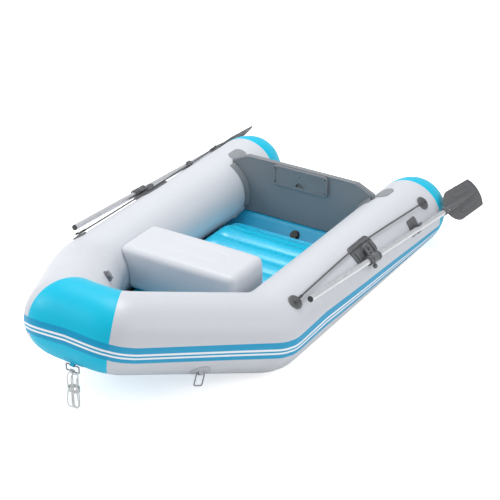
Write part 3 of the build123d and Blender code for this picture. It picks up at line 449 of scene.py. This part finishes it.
def nurbs_points(points, closed=False, resolution=12):
    """Points along the smooth line that has these as its control points."""
    curve = bpy.data.curves.new("route", "CURVE")
    curve.dimensions, curve.resolution_u = "3D", resolution
    line = curve.splines.new("NURBS")
    line.points.add(len(points) - 1)
    for spot, where in zip(line.points, points):
        spot.co = (*where, 1)
    line.order_u = 3
    if closed:
        line.use_cyclic_u = True
    else:
        line.use_endpoint_u = True
    holder = bpy.data.objects.new("route", curve)
    bpy.context.scene.collection.objects.link(holder)
    mesh = bpy.data.meshes.new_from_object(holder)
    found = [v.co.copy() for v in mesh.vertices]
    bpy.data.objects.remove(holder)
    bpy.data.meshes.remove(mesh)
    return found


def even_points(points, step):
    """The same line with points an even distance apart."""
    spots = np.array([list(p) for p in points])
    runs = np.concatenate([[0], np.cumsum(np.linalg.norm(np.diff(spots, axis=0), axis=1))])
    count = max(3, int(round(runs[-1] / step)))
    wanted = np.linspace(0, runs[-1], count + 1)
    return np.stack([np.interp(wanted, runs, spots[:, i]) for i in range(3)], axis=1), runs[-1]


def round_skin(name, path, radius_of, around):
    """A round skin along a line; radius_of(along, angles) gives its radius."""
    count = len(path)
    tangents = np.gradient(path, axis=0)
    tangents /= np.linalg.norm(tangents, axis=1)[:, None]
    side = np.cross(tangents[0], (0.0, 0.0, 1.0))
    if np.linalg.norm(side) < 0.1:
        side = np.cross(tangents[0], (0.0, 1.0, 0.0))
    angles = np.linspace(0, 2 * math.pi, around, endpoint=False)
    rows, along = [], 0.0
    for i in range(count):
        side = side - tangents[i] * side.dot(tangents[i])
        side /= np.linalg.norm(side)
        other = np.cross(tangents[i], side)
        if i:
            along += np.linalg.norm(path[i] - path[i - 1])
        radii = radius_of(along, angles)
        rows.append(path[i] + radii[:, None] * (np.cos(angles)[:, None] * side + np.sin(angles)[:, None] * other))
    points = np.array(rows)
    across = np.tile(np.append(angles, 2 * math.pi) * 0.005, (count, 1))
    piece = grid_piece(name, points, across, wrap=True)
    rework(piece, lambda shape: bmesh.ops.holes_fill(shape, edges=[e for e in shape.edges if e.is_boundary],
                                                     sides=around + 1))
    return piece


def plain_radius(radius):
    return lambda along, angles: np.full(len(angles), radius)


def braided_radius(radius, pitch=0.014, plaits=4, depth=0.2):
    """A braid's girth: two families of yarns wound opposite ways."""
    def at(along, angles):
        turn = 2 * math.pi * along / pitch
        one = np.abs(np.cos(plaits / 2 * angles + turn))
        two = np.abs(np.cos(plaits / 2 * angles - turn))
        return radius * (1 - depth + depth * np.maximum(one, two))
    return at


def twisted_radius(radius, pitch=0.02, strands=3, depth=0.24):
    def at(along, angles):
        turn = 2 * math.pi * along / pitch
        return radius * (1 - depth + depth * np.abs(np.cos(strands / 2 * (angles - turn))))
    return at


def bead(name, points, radius, closed=False, around=10, step=0.004):
    """A raised round line through control points."""
    spots = nurbs_points(points, closed)
    if closed:
        spots.append(spots[0])
    path, _ = even_points(spots, step)
    return round_skin(name, path, plain_radius(radius), around)


# ================================================================ cords
LINE_R = 0.0042
LINE_STOPS = ((-0.294, 54.5, 0.013), (-0.234, 55.5, 0.0101), (0.210, 59.5, 0.0101),
              (0.395, 58.2, 0.0101), (0.843, 47.4, 0.0101), (0.903, 46.0, 0.013))


def side_normal(angle, side=1):
    a = math.radians(angle)
    return Vector((side * math.cos(a), 0, math.sin(a)))


def side_point(y, angle, lift=0.0, side=1):
    return Vector((side * SIDE_X, y, TUBE_R)) + side_normal(angle, side) * (TUBE_R + lift)


def winding(count, turns, place):
    """Control points wound round something; place(share, cosine, sine) gives each."""
    spots = []
    for i in range(count):
        share = i / (count - 1)
        turn = 2 * math.pi * turns * share
        spots.append(place(share, math.cos(turn), math.sin(turn)))
    return spots


def stopper_knot(name, centre, normal, size, rope_radius):
    """An overhand knot drawn up on the disc's boss."""
    along = Vector((0, 1, 0))
    third = normal.cross(along).normalized()
    spots = []
    for i in range(18):
        t = 2 * math.pi * i / 18
        spots.append(centre + along * (size * (math.sin(t) + 1.6 * math.sin(2 * t)) * 0.42)
                     + third * (size * (math.cos(t) - 1.6 * math.cos(2 * t)) * 0.42)
                     + normal * (size * 0.45 * -math.sin(3 * t)))
    loop = nurbs_points(spots, closed=True)
    path, _ = even_points(loop + loop[:1], 0.0011)
    return round_skin(name, path, braided_radius(rope_radius, depth=0.14), 12)


def grab_line(side, label):
    route = [side_point(y, angle, lift, side) for y, angle, lift in LINE_STOPS]
    path, _ = even_points(nurbs_points(route, resolution=40), 0.0016)
    line = round_skin(label + "_grab_rope", path, braided_radius(LINE_R, depth=0.13), 16)
    finish_piece(line, GRAB_ROPE, "hull", "grab_rope", label + "_grab_line")
    extras = []
    for place, (y, angle, lift), way in (("bow", LINE_STOPS[0], 1), ("stern", LINE_STOPS[-1], -1)):
        normal = side_normal(angle, side)
        third = normal.cross(Vector((0, 1, 0)))
        centre = side_point(y - way * 0.006, angle, lift + 0.0035, side)
        knot = stopper_knot(f"{label}_{place}_knot", centre, normal, 0.0075, 0.0026)

        def wrap(share, cosine, sine):
            at = y + way * (0.016 + 0.036 * share)
            middle = path[np.abs(path[:, 1] - at).argmin()]
            return Vector((middle[0], at, middle[2])) + (normal * cosine + third * sine) * (LINE_R + 0.0009)

        whip, _ = even_points(nurbs_points(winding(70, 9, wrap), resolution=6), 0.0012)
        whipping = round_skin(f"{label}_{place}_whipping", whip, plain_radius(0.0011), 8)
        extras += [finish_piece(piece, GRAB_ROPE, "hull", "grab_rope") for piece in (knot, whipping)]


grab_line(1, "port")
grab_line(-1, "starboard")

# the painter, folded into a hank under the nose ring
HANK_X, HANK_Y = 0.0, -1.106
HANK_ROPE_R = 0.0027
HANK_FOLD = 0.016               # height of each fold's bend
RING_BAR_Z = 0.2002             # lower bar of the nose ring
RUNS = ((-0.026, -0.0105), (0.006, -0.0105), (-0.014, 0.0105), (0.018, 0.0105), (-0.002, -0.0125), (0.030, -0.0125))


def hank_spot(run, height, squeeze):
    x, y = RUNS[run]
    return Vector((HANK_X + x * squeeze, HANK_Y + y, height))


def hank_route():
    """Six runs and five folds: spread below the tie, drawn in at the waist."""
    spots = [Vector((HANK_X - 0.012, HANK_Y - 0.0085, RING_BAR_Z - 0.004)),
             Vector((HANK_X - 0.018, HANK_Y - 0.0095, 0.190))]
    tops = (0.186, 0.186, 0.186, 0.190, 0.190, 0.186)
    feet = (0.030, 0.030, 0.022, 0.022, 0.034, 0.034)
    for run in range(6):
        down = run % 2 == 0
        top, foot = tops[run] - HANK_FOLD, feet[run] + HANK_FOLD
        inner = [(top, 0.95), (0.150, 0.86), (0.118, 0.78), (0.090, 0.95), (0.062, 1.06), (foot, 1.04)]
        body = [hank_spot(run, z, squeeze) for z, squeeze in inner]
        if not down:
            body.reverse()
        spots += body
        if run == 5:
            break
        here, there = Vector(RUNS[run]), Vector(RUNS[run + 1])
        for share, dip in ((0.06, 0.55), (0.3, 1.0), (0.7, 1.0), (0.94, 0.55)):
            flat = here.lerp(there, share)
            level = foot - HANK_FOLD * dip if down else top + HANK_FOLD * dip
            spots.append(Vector((HANK_X + flat.x * (1.04 if down else 0.95), HANK_Y + flat.y, level)))
    spots.append(hank_spot(5, 0.182, 0.95))
    return spots


def painter_hank():
    route = hank_route()
    path, length = even_points(nurbs_points(route, resolution=12), 0.0016)
    hank = round_skin("painter_hank_rope", path, twisted_radius(HANK_ROPE_R), 15)
    finish_piece(hank, PAINTER_ROPE, "nose_ring", "painter_rope", "painter_hank")
    ties = winding(60, 3.2, lambda share, cosine, sine: Vector((
        HANK_X + 0.0015 + 0.0265 * cosine, HANK_Y - 0.001 + 0.0185 * sine, 0.127 - 0.020 * share)))
    hitch = winding(40, 2.4, lambda share, cosine, sine: Vector((
        HANK_X - 0.012 + 0.018 * share, HANK_Y + 0.0068 * cosine, RING_BAR_Z + 0.0068 * sine)))
    for name, spots, step in (("painter_waist_tie", ties, 0.0018), ("painter_hitch", hitch, 0.0014)):
        wound, _ = even_points(nurbs_points(spots, resolution=8), step)
        finish_piece(round_skin(name, wound, twisted_radius(HANK_ROPE_R), 12), PAINTER_ROPE,
                                   "nose_ring", "painter_rope")


painter_hank()


# ================================================================ hull skins
def radial_frames():
    """Outward and upward directions carried from the side tube round to the nose without twist."""
    frames, out, up, heading = [], Vector((1, 0, 0)), Vector((0, 0, 1)), FORWARD
    for direction in (FORWARD, BOW_DIR, INWARD):
        turn = heading.rotation_difference(direction)
        out, up, heading = turn @ out, turn @ up, direction
        frames.append((out.copy(), up.copy()))
    return frames


FIRST_ANGLE = -150
STEP_ANGLE = 360 / AROUND
ANGLES = [FIRST_ANGLE + STEP_ANGLE * k for k in range(AROUND)]


def own_angle_shift(frame_pair, direction):
    """Degrees between the carried outward direction and the level one of this tube."""
    level = Vector((-direction.y, direction.x, 0)).normalized()
    if level.dot(frame_pair[0]) < 0:
        level = -level
    return math.degrees(math.atan2(level.dot(frame_pair[1]), level.dot(frame_pair[0])))


def tube_rows(start, end, start_normal, end_normal, frame_pair, rows):
    """Rings of one straight tube, each generator running from one mitre to the other."""
    direction = (end - start).normalized()
    length = (end - start).length
    rings = []
    for i in range(rows + 1):
        share = i / rows
        ring = []
        for angle in ANGLES:
            a = math.radians(angle)
            radial = frame_pair[0] * math.cos(a) + frame_pair[1] * math.sin(a)
            first = -TUBE_R * start_normal.dot(radial) / start_normal.dot(direction)
            last = length - TUBE_R * end_normal.dot(radial) / end_normal.dot(direction)
            ring.append(start + direction * (first + (last - first) * share) + radial * TUBE_R)
        rings.append(ring)
    return np.array([[list(p) for p in ring] for ring in rings])


def stripe_top(distance_marks, distance):
    return float(np.interp(distance, [m[0] for m in distance_marks], [m[1] for m in distance_marks]))


def soften(points, seams, reach=4, rounds=9):
    """Rounds the hull along its length where two tubes meet, as air pressure does."""
    for _ in range(rounds):
        moved = points.copy()
        for seam in seams:
            for i in range(seam - reach, seam + reach + 1):
                weight = 1 - abs(i - seam) / (reach + 1)
                moved[i] += weight * ((points[i - 1] + points[i + 1]) / 2 - points[i])
        points = moved
    return points


def hull_skins():
    frames = radial_frames()
    bend_normal = (FORWARD + BOW_DIR).normalized()
    nose_normal = (BOW_DIR + INWARD).normalized()
    side_rows = round((TAIL - BEND).length / RING_STEP)
    bow_rows = round((NOSE - BEND).length / RING_STEP)
    nose_rows = round(NOSE_HALF / RING_STEP)
    side = tube_rows(TAIL, BEND, FORWARD, bend_normal, frames[0], side_rows)
    bow = tube_rows(BEND, NOSE, bend_normal, nose_normal, frames[1], bow_rows)
    half_nose = tube_rows(NOSE, Vector((0, NOSE_Y, NOSE_Z)), nose_normal, INWARD, frames[2], nose_rows)
    port = np.concatenate([side, bow[1:], half_nose[1:]])
    far = port[:-1][::-1] * np.array([-1, 1, 1])
    whole = np.concatenate([port, far])
    count = len(whole)
    seam_bend, seam_nose = side_rows, side_rows + bow_rows
    seams = (seam_bend, seam_nose, count - 1 - seam_nose, count - 1 - seam_bend)
    whole = soften(whole, seams)

    # printed band: degrees above the carried outward line, along the middle line
    bow_shift = own_angle_shift(frames[1], BOW_DIR)
    nose_shift = own_angle_shift(frames[2], INWARD)
    bend_at = (TAIL - BEND).length
    nose_at = bend_at + (NOSE - BEND).length
    marks = [(TAIL.y - 0.986, -9.0), (TAIL.y - 0.513, 1.0), (TAIL.y - 0.257, 5.0), (TAIL.y + 0.099, 12.0),
             (bend_at + 0.2, 3.0 - bow_shift), (nose_at - 0.1, -2.0 - bow_shift),
             (nose_at + NOSE_HALF, -4.0 - nose_shift)]
    axis = np.concatenate([np.linspace(0, bend_at, side_rows + 1),
                           np.linspace(bend_at, nose_at, bow_rows + 1)[1:],
                           np.linspace(nose_at, nose_at + NOSE_HALF, nose_rows + 1)[1:]])
    axis = np.concatenate([axis, axis[:-1][::-1]])

    # puckers on the inboard side of each join, and the faint unevenness of stretched cloth
    angles = np.radians(np.array(ANGLES))
    centres = whole.mean(axis=1, keepdims=True)
    radial = whole - centres
    radial /= np.linalg.norm(radial, axis=2, keepdims=True)
    for seam in seams:
        for i in range(seam - 7, seam + 8):
            near = math.exp(-((i - seam) / 3.2) ** 2)
            inboard = np.clip(-np.cos(angles), 0, 1) ** 2
            dip = 0.0022 * near * inboard * (0.5 + 0.5 * np.cos(11 * angles + 0.7 * seam))
            whole[i] -= radial[i] * dip[:, None]
    rows = np.arange(count)[:, None]
    wave = 0.00035 * (np.sin(2 * angles[None, :] + rows * 0.11) + np.sin(3 * angles[None, :] - rows * 0.07 + 1.3))
    whole += radial * wave[:, :, None]
    for seam in seams:
        whole[seam] -= radial[seam] * 0.0011
    for i in (0, count - 1):
        whole[i] -= radial[i] * 0.0009

    closed_angles = np.array(ANGLES + [FIRST_ANGLE + 360])
    across = np.array([(closed_angles - stripe_top(marks, axis[i])) / PANEL_DEGREES for i in range(count)])
    panels = (("port_side_skin", 0, seams[0], HULL_GREY, "hull_grey_skin", "port_side_tube"),
              ("port_bow_skin", seams[0], seams[1], HULL_GREY, "hull_grey_skin", "port_bow_tube"),
              ("nose_skin", seams[1], seams[2], BOW_BLUE, "bow_blue_skin", "nose_tube"),
              ("starboard_bow_skin", seams[2], seams[3], HULL_GREY, "hull_grey_skin", "starboard_bow_tube"),
              ("starboard_side_skin", seams[3], count - 1, HULL_GREY, "hull_grey_skin", "starboard_side_tube"))
    for name, first, last, material, slot, stands_for in panels:
        skin = grid_piece(name, whole[first:last + 1], across[first:last + 1], wrap=True)
        finish_piece(skin, material, "hull", slot, stands_for)
    return whole[0]


def cone_skins(seam_ring):
    """Stern cones: a gentle taper, then a round tail gathered at its middle."""
    sweep = math.radians(25)
    arc_r, length = 0.250, STERN_Y - TAIL.y
    taper_r = TUBE_R - arc_r * (1 - math.cos(sweep))
    taper_y = arc_r * math.sin(sweep)
    tail_r = (length - taper_y) / (1 - math.sin(sweep))
    centre_r, centre_y = taper_r - tail_r * math.cos(sweep), taper_y - tail_r * math.sin(sweep)
    profile = [(TUBE_R - 0.0009, 0.0)]
    profile += [(TUBE_R - arc_r * (1 - math.cos(t)), arc_r * math.sin(t)) for t in np.linspace(0.02, sweep, 10)]
    profile += [(centre_r + tail_r * math.cos(t), centre_y + tail_r * math.sin(t))
                for t in np.linspace(sweep, math.pi / 2, 10)[1:]]
    inner = [(centre_r * (1 - t), length) for t in (0.35, 0.65, 0.85, 0.97)]
    angles = np.radians(np.array(ANGLES))
    rows = []
    for i, (radius, y) in enumerate(profile + inner):
        gather = 1 + 0.006 * np.cos(8 * angles) * (i / (len(profile) + 3)) ** 2
        rows.append(np.stack([SIDE_X + radius * gather * np.cos(angles), np.full(AROUND, TAIL.y + y),
                              TUBE_R + radius * gather * np.sin(angles)], axis=1))
    rows[0] = seam_ring
    points = np.array(rows)
    across = np.tile(np.append(angles, angles[0] + 2 * math.pi) * 0.1, (len(points), 1))
    cone = grid_piece("port_cone_skin", points, across, wrap=True)

    def close_tail(shape):
        ring = [e for e in shape.edges if e.is_boundary and all(v.co.y > TAIL.y + 0.05 for v in e.verts)]
        bmesh.ops.holes_fill(shape, edges=ring, sides=AROUND + 1)

    rework(cone, close_tail)
    far = mirror_copy(cone, "starboard_cone_skin")
    for piece, side in ((cone, "port"), (far, "starboard")):
        finish_piece(piece, CONE_BLUE, "hull", "bow_blue_skin", side + "_stern_cone")


cone_skins(hull_skins())


# ================================================================ soft blocks: air floor and bench
def soft_block(name, lo, hi, radius, counts):
    """A rounded box skin with an even grid of faces; counts are faces along X, Y and Z."""
    lo, hi = Vector(lo), Vector(hi)
    size = hi - lo
    shape = bmesh.new()
    for axis in range(3):
        u, v = [i for i in range(3) if i != axis]
        for end in (0.0, 1.0):
            rows = []
            for i in range(counts[u] + 1):
                row = []
                for j in range(counts[v] + 1):
                    place = [0.0, 0.0, 0.0]
                    place[axis], place[u], place[v] = end, i / counts[u], j / counts[v]
                    row.append(shape.verts.new([lo[n] + size[n] * place[n] for n in range(3)]))
                rows.append(row)
            for i in range(counts[u]):
                for j in range(counts[v]):
                    shape.faces.new((rows[i][j], rows[i + 1][j], rows[i + 1][j + 1], rows[i][j + 1]))
    bmesh.ops.remove_doubles(shape, verts=shape.verts, dist=MERGE)
    bmesh.ops.recalc_face_normals(shape, faces=shape.faces)
    for vert in shape.verts:
        inner = Vector([min(max(vert.co[n], lo[n] + radius), hi[n] - radius) for n in range(3)])
        away = vert.co - inner
        if away.length > 1e-7:
            vert.co = inner + away.normalized() * radius
    mesh = bpy.data.meshes.new(name)
    shape.to_mesh(mesh)
    shape.free()
    piece = bpy.data.objects.new(name, mesh)
    bpy.context.scene.collection.objects.link(piece)
    return piece


def smooth_step(value, low, high):
    t = np.clip((value - low) / (high - low), 0, 1)
    return t * t * (3 - 2 * t)


def coordinates_of(piece):
    spots = np.zeros(len(piece.data.vertices) * 3)
    piece.data.vertices.foreach_get("co", spots)
    return spots.reshape(-1, 3)


def set_coordinates(piece, spots):
    piece.data.vertices.foreach_set("co", spots.ravel())
    piece.data.update()


def air_floor():
    """Air floor drawn down between its cross ribs by the inner webs."""
    lo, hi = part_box("floor_mattress")
    pitch, depth = 0.108, 0.017     # the webs' spacing, and how far they draw the top down
    mattress = soft_block("air_floor_skin", lo, hi, 0.040, (44, 120, 10))
    spots = coordinates_of(mattress)
    x, y, z = spots.T
    phase = (hi.y - y) / pitch
    lobe = np.abs(np.sin(math.pi * phase)) ** 0.75
    reach = smooth_step(hi.x - 0.03 - np.abs(x), 0.0, 0.05)
    ends = smooth_step(y, lo.y + 0.02, lo.y + 0.07) * smooth_step(hi.y - y, 0.02, 0.07)
    top = smooth_step(z, lo.z + 0.06, hi.z - 0.01)
    spots[:, 2] -= depth * (1 - lobe) * reach * top * ends
    uneven = 0.0012 * np.sin(x * 9 + 3 * np.floor(phase)) * reach * top
    spots[:, 2] += np.minimum(uneven, 0)
    tail_drop = 0.042 * smooth_step(y, hi.y - 0.15, hi.y + 0.01)
    spots[:, 2] -= tail_drop * top
    set_coordinates(mattress, spots)
    finish_piece(mattress, FLOOR_BLUE, "hull", "floor_blue_skin", "floor_mattress", "floor_webs")


def bench_seat():
    """Inflated bench: swelling sides, a pinched weld round its inner web, puckers low at the ends."""
    lo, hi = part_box("seat_cushion")
    web_lo, web_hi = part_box("seat_web")
    seat = soft_block("bench_seat_skin", lo, hi, 0.030, (84, 40, 30))
    spots = coordinates_of(seat)
    x, y, z = spots.T
    cx, cy, cz = (lo.x + hi.x) / 2, (lo.y + hi.y) / 2, (lo.z + hi.z) / 2
    hx, hy, hz = (hi.x - lo.x) / 2, (hi.y - lo.y) / 2, (hi.z - lo.z) / 2
    px, py, pz = (x - cx) / hx, (y - cy) / hy, (z - cz) / hz
    sx, sy, sz = (1 - np.clip(np.abs(p), 0, 1) ** 2.2 for p in (px, py, pz))
    swell_y, swell_top = 0.0075, 0.004
    spots[:, 1] += np.sign(py) * swell_y * sx * sz * np.abs(py) ** 3
    spots[:, 0] += np.where(px > 0, 0.006 * sy * sz * np.abs(px) ** 3, 0)
    spots[:, 2] += np.where(pz > 0, swell_top * sx ** 0.6 * sy ** 0.6, 0) * np.abs(pz) ** 3
    pull = 0.006 * (np.abs(px) ** 6) * (np.abs(py) ** 6) * np.abs(pz) ** 2
    spots[:, 0] -= np.sign(px) * pull
    spots[:, 1] -= np.sign(py) * pull
    # weld line over the inner web
    radius = (web_hi.y - web_lo.y) / 2
    straight = (web_hi.x - web_lo.x) / 2 - radius
    wx, wy = (web_lo.x + web_hi.x) / 2, (web_lo.y + web_hi.y) / 2
    off = np.hypot(np.clip(np.abs(x - wx) - straight, 0, None), y - wy) - radius
    top = smooth_step(pz, 0.8, 0.97)
    spots[:, 2] -= 0.0026 * np.exp(-(off / 0.0055) ** 2) * top
    # puckers
    low = smooth_step(-pz, 0.35, 0.95) * np.clip(np.abs(px), 0, 1) ** 8
    spots[:, 1] -= np.sign(py) * 0.0028 * low * np.abs(py) ** 2 * (0.5 + 0.5 * np.sin(x * 190 + z * 60))
    high = smooth_step(pz, 0.3, 0.9) * np.clip(np.abs(px), 0, 1) ** 12
    spots[:, 1] -= np.sign(py) * 0.0012 * high * np.abs(py) ** 2 * (0.5 + 0.5 * np.sin(x * 230 - z * 40))
    # starboard end rests on the tube's shoulder
    clear = TUBE_R + 0.003
    x, z = spots[:, 0], spots[:, 2]
    dx, dz = x + SIDE_X, z - TUBE_R
    distance = np.hypot(dx, dz)
    over = (distance < clear) & (z > TUBE_R)
    spots[over, 0] = -SIDE_X + dx[over] / distance[over] * clear
    spots[over, 2] = TUBE_R + dz[over] / distance[over] * clear
    under = (z <= TUBE_R) & (x < -SIDE_X + clear)
    spots[under, 0] = -SIDE_X + clear
    set_coordinates(seat, spots)
    apply_modifier(seat, "SMOOTH", factor=0.35, iterations=2)
    finish_piece(seat, SEAT_GREY, "bench_seat", "seat_skin", "seat_cushion", "seat_web")


air_floor()
bench_seat()


# ================================================================ bottom cloth, ramp and transom trim
def keel_point(share):
    down = (Vector((0, 0, -1)) + BOW_DIR * BOW_DIR.z).normalized()
    return BEND + (NOSE - BEND) * share + down * TUBE_R


def bottom_cloth():
    """One coated sheet: sloping bow panel, flat bottom and the ramp up to the transom."""
    low, high = keel_point(0), keel_point(1)
    slope = (high.z - low.z) / (low.y - high.y)
    flat_front = low.y + low.z / slope
    board_lo, board_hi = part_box("transom_board")
    foot, knee, knee_z = board_lo.y - 0.080, board_lo.y - 0.014, board_lo.z - 0.006
    nose_edge = NOSE_Y - 0.010
    line = [(nose_edge, (flat_front - nose_edge) * slope), (flat_front, 0.0), (foot, 0.0), (knee, knee_z),
            (board_hi.y, knee_z)]
    stations = []
    for (y0, z0), (y1, z1) in zip(line, line[1:]):
        steps = max(2, int(math.hypot(y1 - y0, z1 - z0) / 0.018))
        stations += [(y0 + (y1 - y0) * i / steps, z0 + (z1 - z0) * i / steps) for i in range(steps)]
    stations.append(line[-1])
    columns = 48
    rows = []
    front_half = high.x + (low.x - high.x) * (nose_edge - high.y) / (low.y - high.y)
    for y, z in stations:
        if y < low.y:
            half = front_half + (low.x - front_half) * (y - nose_edge) / (low.y - nose_edge) - 0.009
        else:
            half = 0.449
        if y > low.y and z > 0.002:
            reach = TUBE_R + 0.0006
            half = min(half, SIDE_X - math.sqrt(max(reach ** 2 - (z + 0.0012 - TUBE_R) ** 2, 0.0)) - 0.0004)
        row = []
        for i in range(columns + 1):
            share = -1 + 2 * i / columns
            belly = 0.0
            if y < flat_front - 0.02:
                belly = 0.006 * (1 - share ** 2) * min(1.0, (flat_front - y) / 0.15)
            if foot < y < knee:
                belly = 0.004 * math.sin(math.pi * (y - foot) / (knee - foot)) * (1 - share ** 4)
            row.append((half * share, y, z + 0.0006 + belly))
        rows.append(row)
    points = np.array(rows)
    across = np.tile(np.linspace(0, 0.9, columns + 1), (len(points), 1))
    sheet = grid_piece("bottom_cloth", points, across, wrap=False)
    apply_modifier(sheet, "SOLIDIFY", thickness=0.0010, offset=0)
    finish_piece(sheet, BOTTOM_BLUE, "hull", "bottom_blue_skin", "bottom_skin")


bottom_cloth()


def transom_trim():
    """Piping along the board's top, and the welded flanges on both tubes."""
    lo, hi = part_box("transom_board")
    top_half, shoulder_x, shoulder_z = 0.309, 0.402, 0.346
    front = lo.y - 0.0006
    top = [(-shoulder_x + 0.008, front, shoulder_z - 0.004), (-top_half - 0.01, front, hi.z - 0.007)]
    top += [(-top_half + 0.03, front, hi.z - 0.0035), (0, front, hi.z - 0.0035)]
    top += [(-x, y, z) for x, y, z in top[:3][::-1]]
    piping = bead("transom_piping", top, 0.0026, around=10, step=0.008)
    finish_piece(piping, PATCH_GREY, "hull", "transom_cloth")
    for side, label in ((1, "port"), (-1, "starboard")):
        rows = []
        for angle in np.linspace(118, 200, 36):
            rows.append([list(side_point(lo.y - 0.0012 - 0.034 * share, angle, 0.0022 + 0.011 * (1 - share) ** 3, side))
                         for share in np.linspace(0, 1, 7)])
        points = np.array(rows)
        across = np.tile(np.linspace(0, 0.05, 7), (len(points), 1))
        flange = grid_piece(label + "_transom_flange", points, across, wrap=False)
        apply_modifier(flange, "SOLIDIFY", thickness=0.0012, offset=0)
        rework(flange, lambda shape: bmesh.ops.remove_doubles(shape, verts=shape.verts, dist=MERGE))
        finish_piece(flange, TRANSOM_GREY, "hull", "transom_cloth")


transom_trim()


# ================================================================ rowlock and blade detail
LOCK_Y, LOCK_ANGLE = 0.300, 50.0
PLATE_HALF_LENGTH, PLATE_HALF_WIDTH = 0.093, 0.049


def plate_ring(inset, corner, lift, side, count=8):
    """Control points of a rounded frame that follows the tube, inside the plate's edge."""
    a, b = PLATE_HALF_LENGTH - inset, PLATE_HALF_WIDTH - inset
    spots = []
    for cx, cy, start in ((a - corner, b - corner, 0), (corner - a, b - corner, 90), (corner - a, corner - b, 180),
                          (a - corner, corner - b, 270)):
        for i in range(count + 1):
            t = math.radians(start + 90 * i / count)
            along, over = cx + corner * math.cos(t), cy + corner * math.sin(t)
            angle = LOCK_ANGLE + math.degrees(over / TUBE_R)
            spots.append(side_point(LOCK_Y + along, angle, lift, side))
    return spots


def rowlock_trim():
    for side, label in ((1, "port"), (-1, "starboard")):
        rim = bead(label + "_plate_rim", plate_ring(0.0045, 0.021, 0.0054, side), 0.0026, closed=True, step=0.004)
        finish_piece(rim, ROWLOCK_PLASTIC, "hull", "rowlock_plastic")
        for i, (reach, lean) in enumerate(((0.034, 0.010), (0.044, 0.016))):
            marks = [(LOCK_Y - reach, LOCK_ANGLE - 13.5), (LOCK_Y - reach - lean * 0.6, LOCK_ANGLE - 8),
                     (LOCK_Y - reach - lean, LOCK_ANGLE - 1.5)]
            spots = [side_point(y, angle, 0.0055, side) for y, angle in marks]
            rib = bead(f"{label}_plate_rib_{i}", spots, 0.0022, step=0.003)
            finish_piece(rib, ROWLOCK_PLASTIC, "hull", "rowlock_plastic")


rowlock_trim()

COLLAR = Vector((SIDE_X + 0.1745, 0.285, 0.286))
OAR = Vector((0.036, 1.0, -0.0745)).normalized()


def blade_ribs():
    """Long U-shaped ribs pressed into both faces of each blade, above and below the spine."""
    tilt = math.radians(41)
    up = Vector((-math.sin(tilt), 0, math.cos(tilt)))
    across = (up - OAR * up.dot(OAR)).normalized()
    face = OAR.cross(across).normalized()
    outline = [(1.020, 0.024), (0.930, 0.027), (0.862, 0.030), (0.838, 0.038), (0.845, 0.052), (0.872, 0.056),
               (0.940, 0.053), (1.010, 0.048)]
    for half_name, half in (("upper", 1), ("lower", -1)):
        for face_name, way in (("outer", 1), ("inner", -1)):
            spots = [COLLAR + OAR * along + across * (half * over) + face * (way * 0.0019) for along, over in outline]
            rib = bead(f"port_blade_{half_name}_{face_name}_rib", spots, 0.0019, around=8, step=0.004)
            twin = mirror_copy(rib, rib.name.replace("port", "starboard"))
            finish_piece(rib, BLADE_PLASTIC, "port_oar", "blade_plastic")
            finish_piece(twin, BLADE_PLASTIC, "starboard_oar", "blade_plastic")


blade_ribs()

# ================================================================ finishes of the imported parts
# the first ending that a node's name has is its finish
FINISHES = (("drain_valve_body", BLACK_PLASTIC), ("drain_valve_cap", BLACK_PLASTIC), ("chamber_baffle", WEB_CLOTH),
            ("transom_board", TRANSOM_GREY), ("transom_lobes", PATCH_GREY),
            ("motor_pad", PAD_PLASTIC), ("outer_motor_plate", PAD_PLASTIC), ("pad_screws", RING_STEEL),
            ("seat_valve", PAD_PLASTIC), ("hull_valve_bodies", PAD_PLASTIC), ("valve_cap", PAD_PLASTIC),
            ("line_discs", DISC_RUBBER),
            ("rowlock_base", ROWLOCK_PLASTIC), ("rowlock_yoke", ROWLOCK_PLASTIC), ("rowlock_pin", ROWLOCK_PLASTIC),
            ("oar_collar", ROWLOCK_PLASTIC), ("collar_knob", KNOB_PLASTIC), ("inner_shaft", ALUMINIUM),
            ("outer_shaft", ALUMINIUM), ("grip_cap", GRIP_PLASTIC), ("oar_blade", BLADE_PLASTIC),
            ("shaft_button", STEEL), ("blade_button", STEEL), ("oar_clip", ROWLOCK_PLASTIC),
            ("bow_ring", RING_STEEL), ("ring_patches", RING_PATCH), ("nose_ring", RING_STEEL))
for label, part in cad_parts.items():
    for ending, material in FINISHES:
        if label.endswith(ending):
            if part.material_slots:
                for place in part.material_slots:
                    place.material = material
            else:
                part.data.materials.append(material)
            break
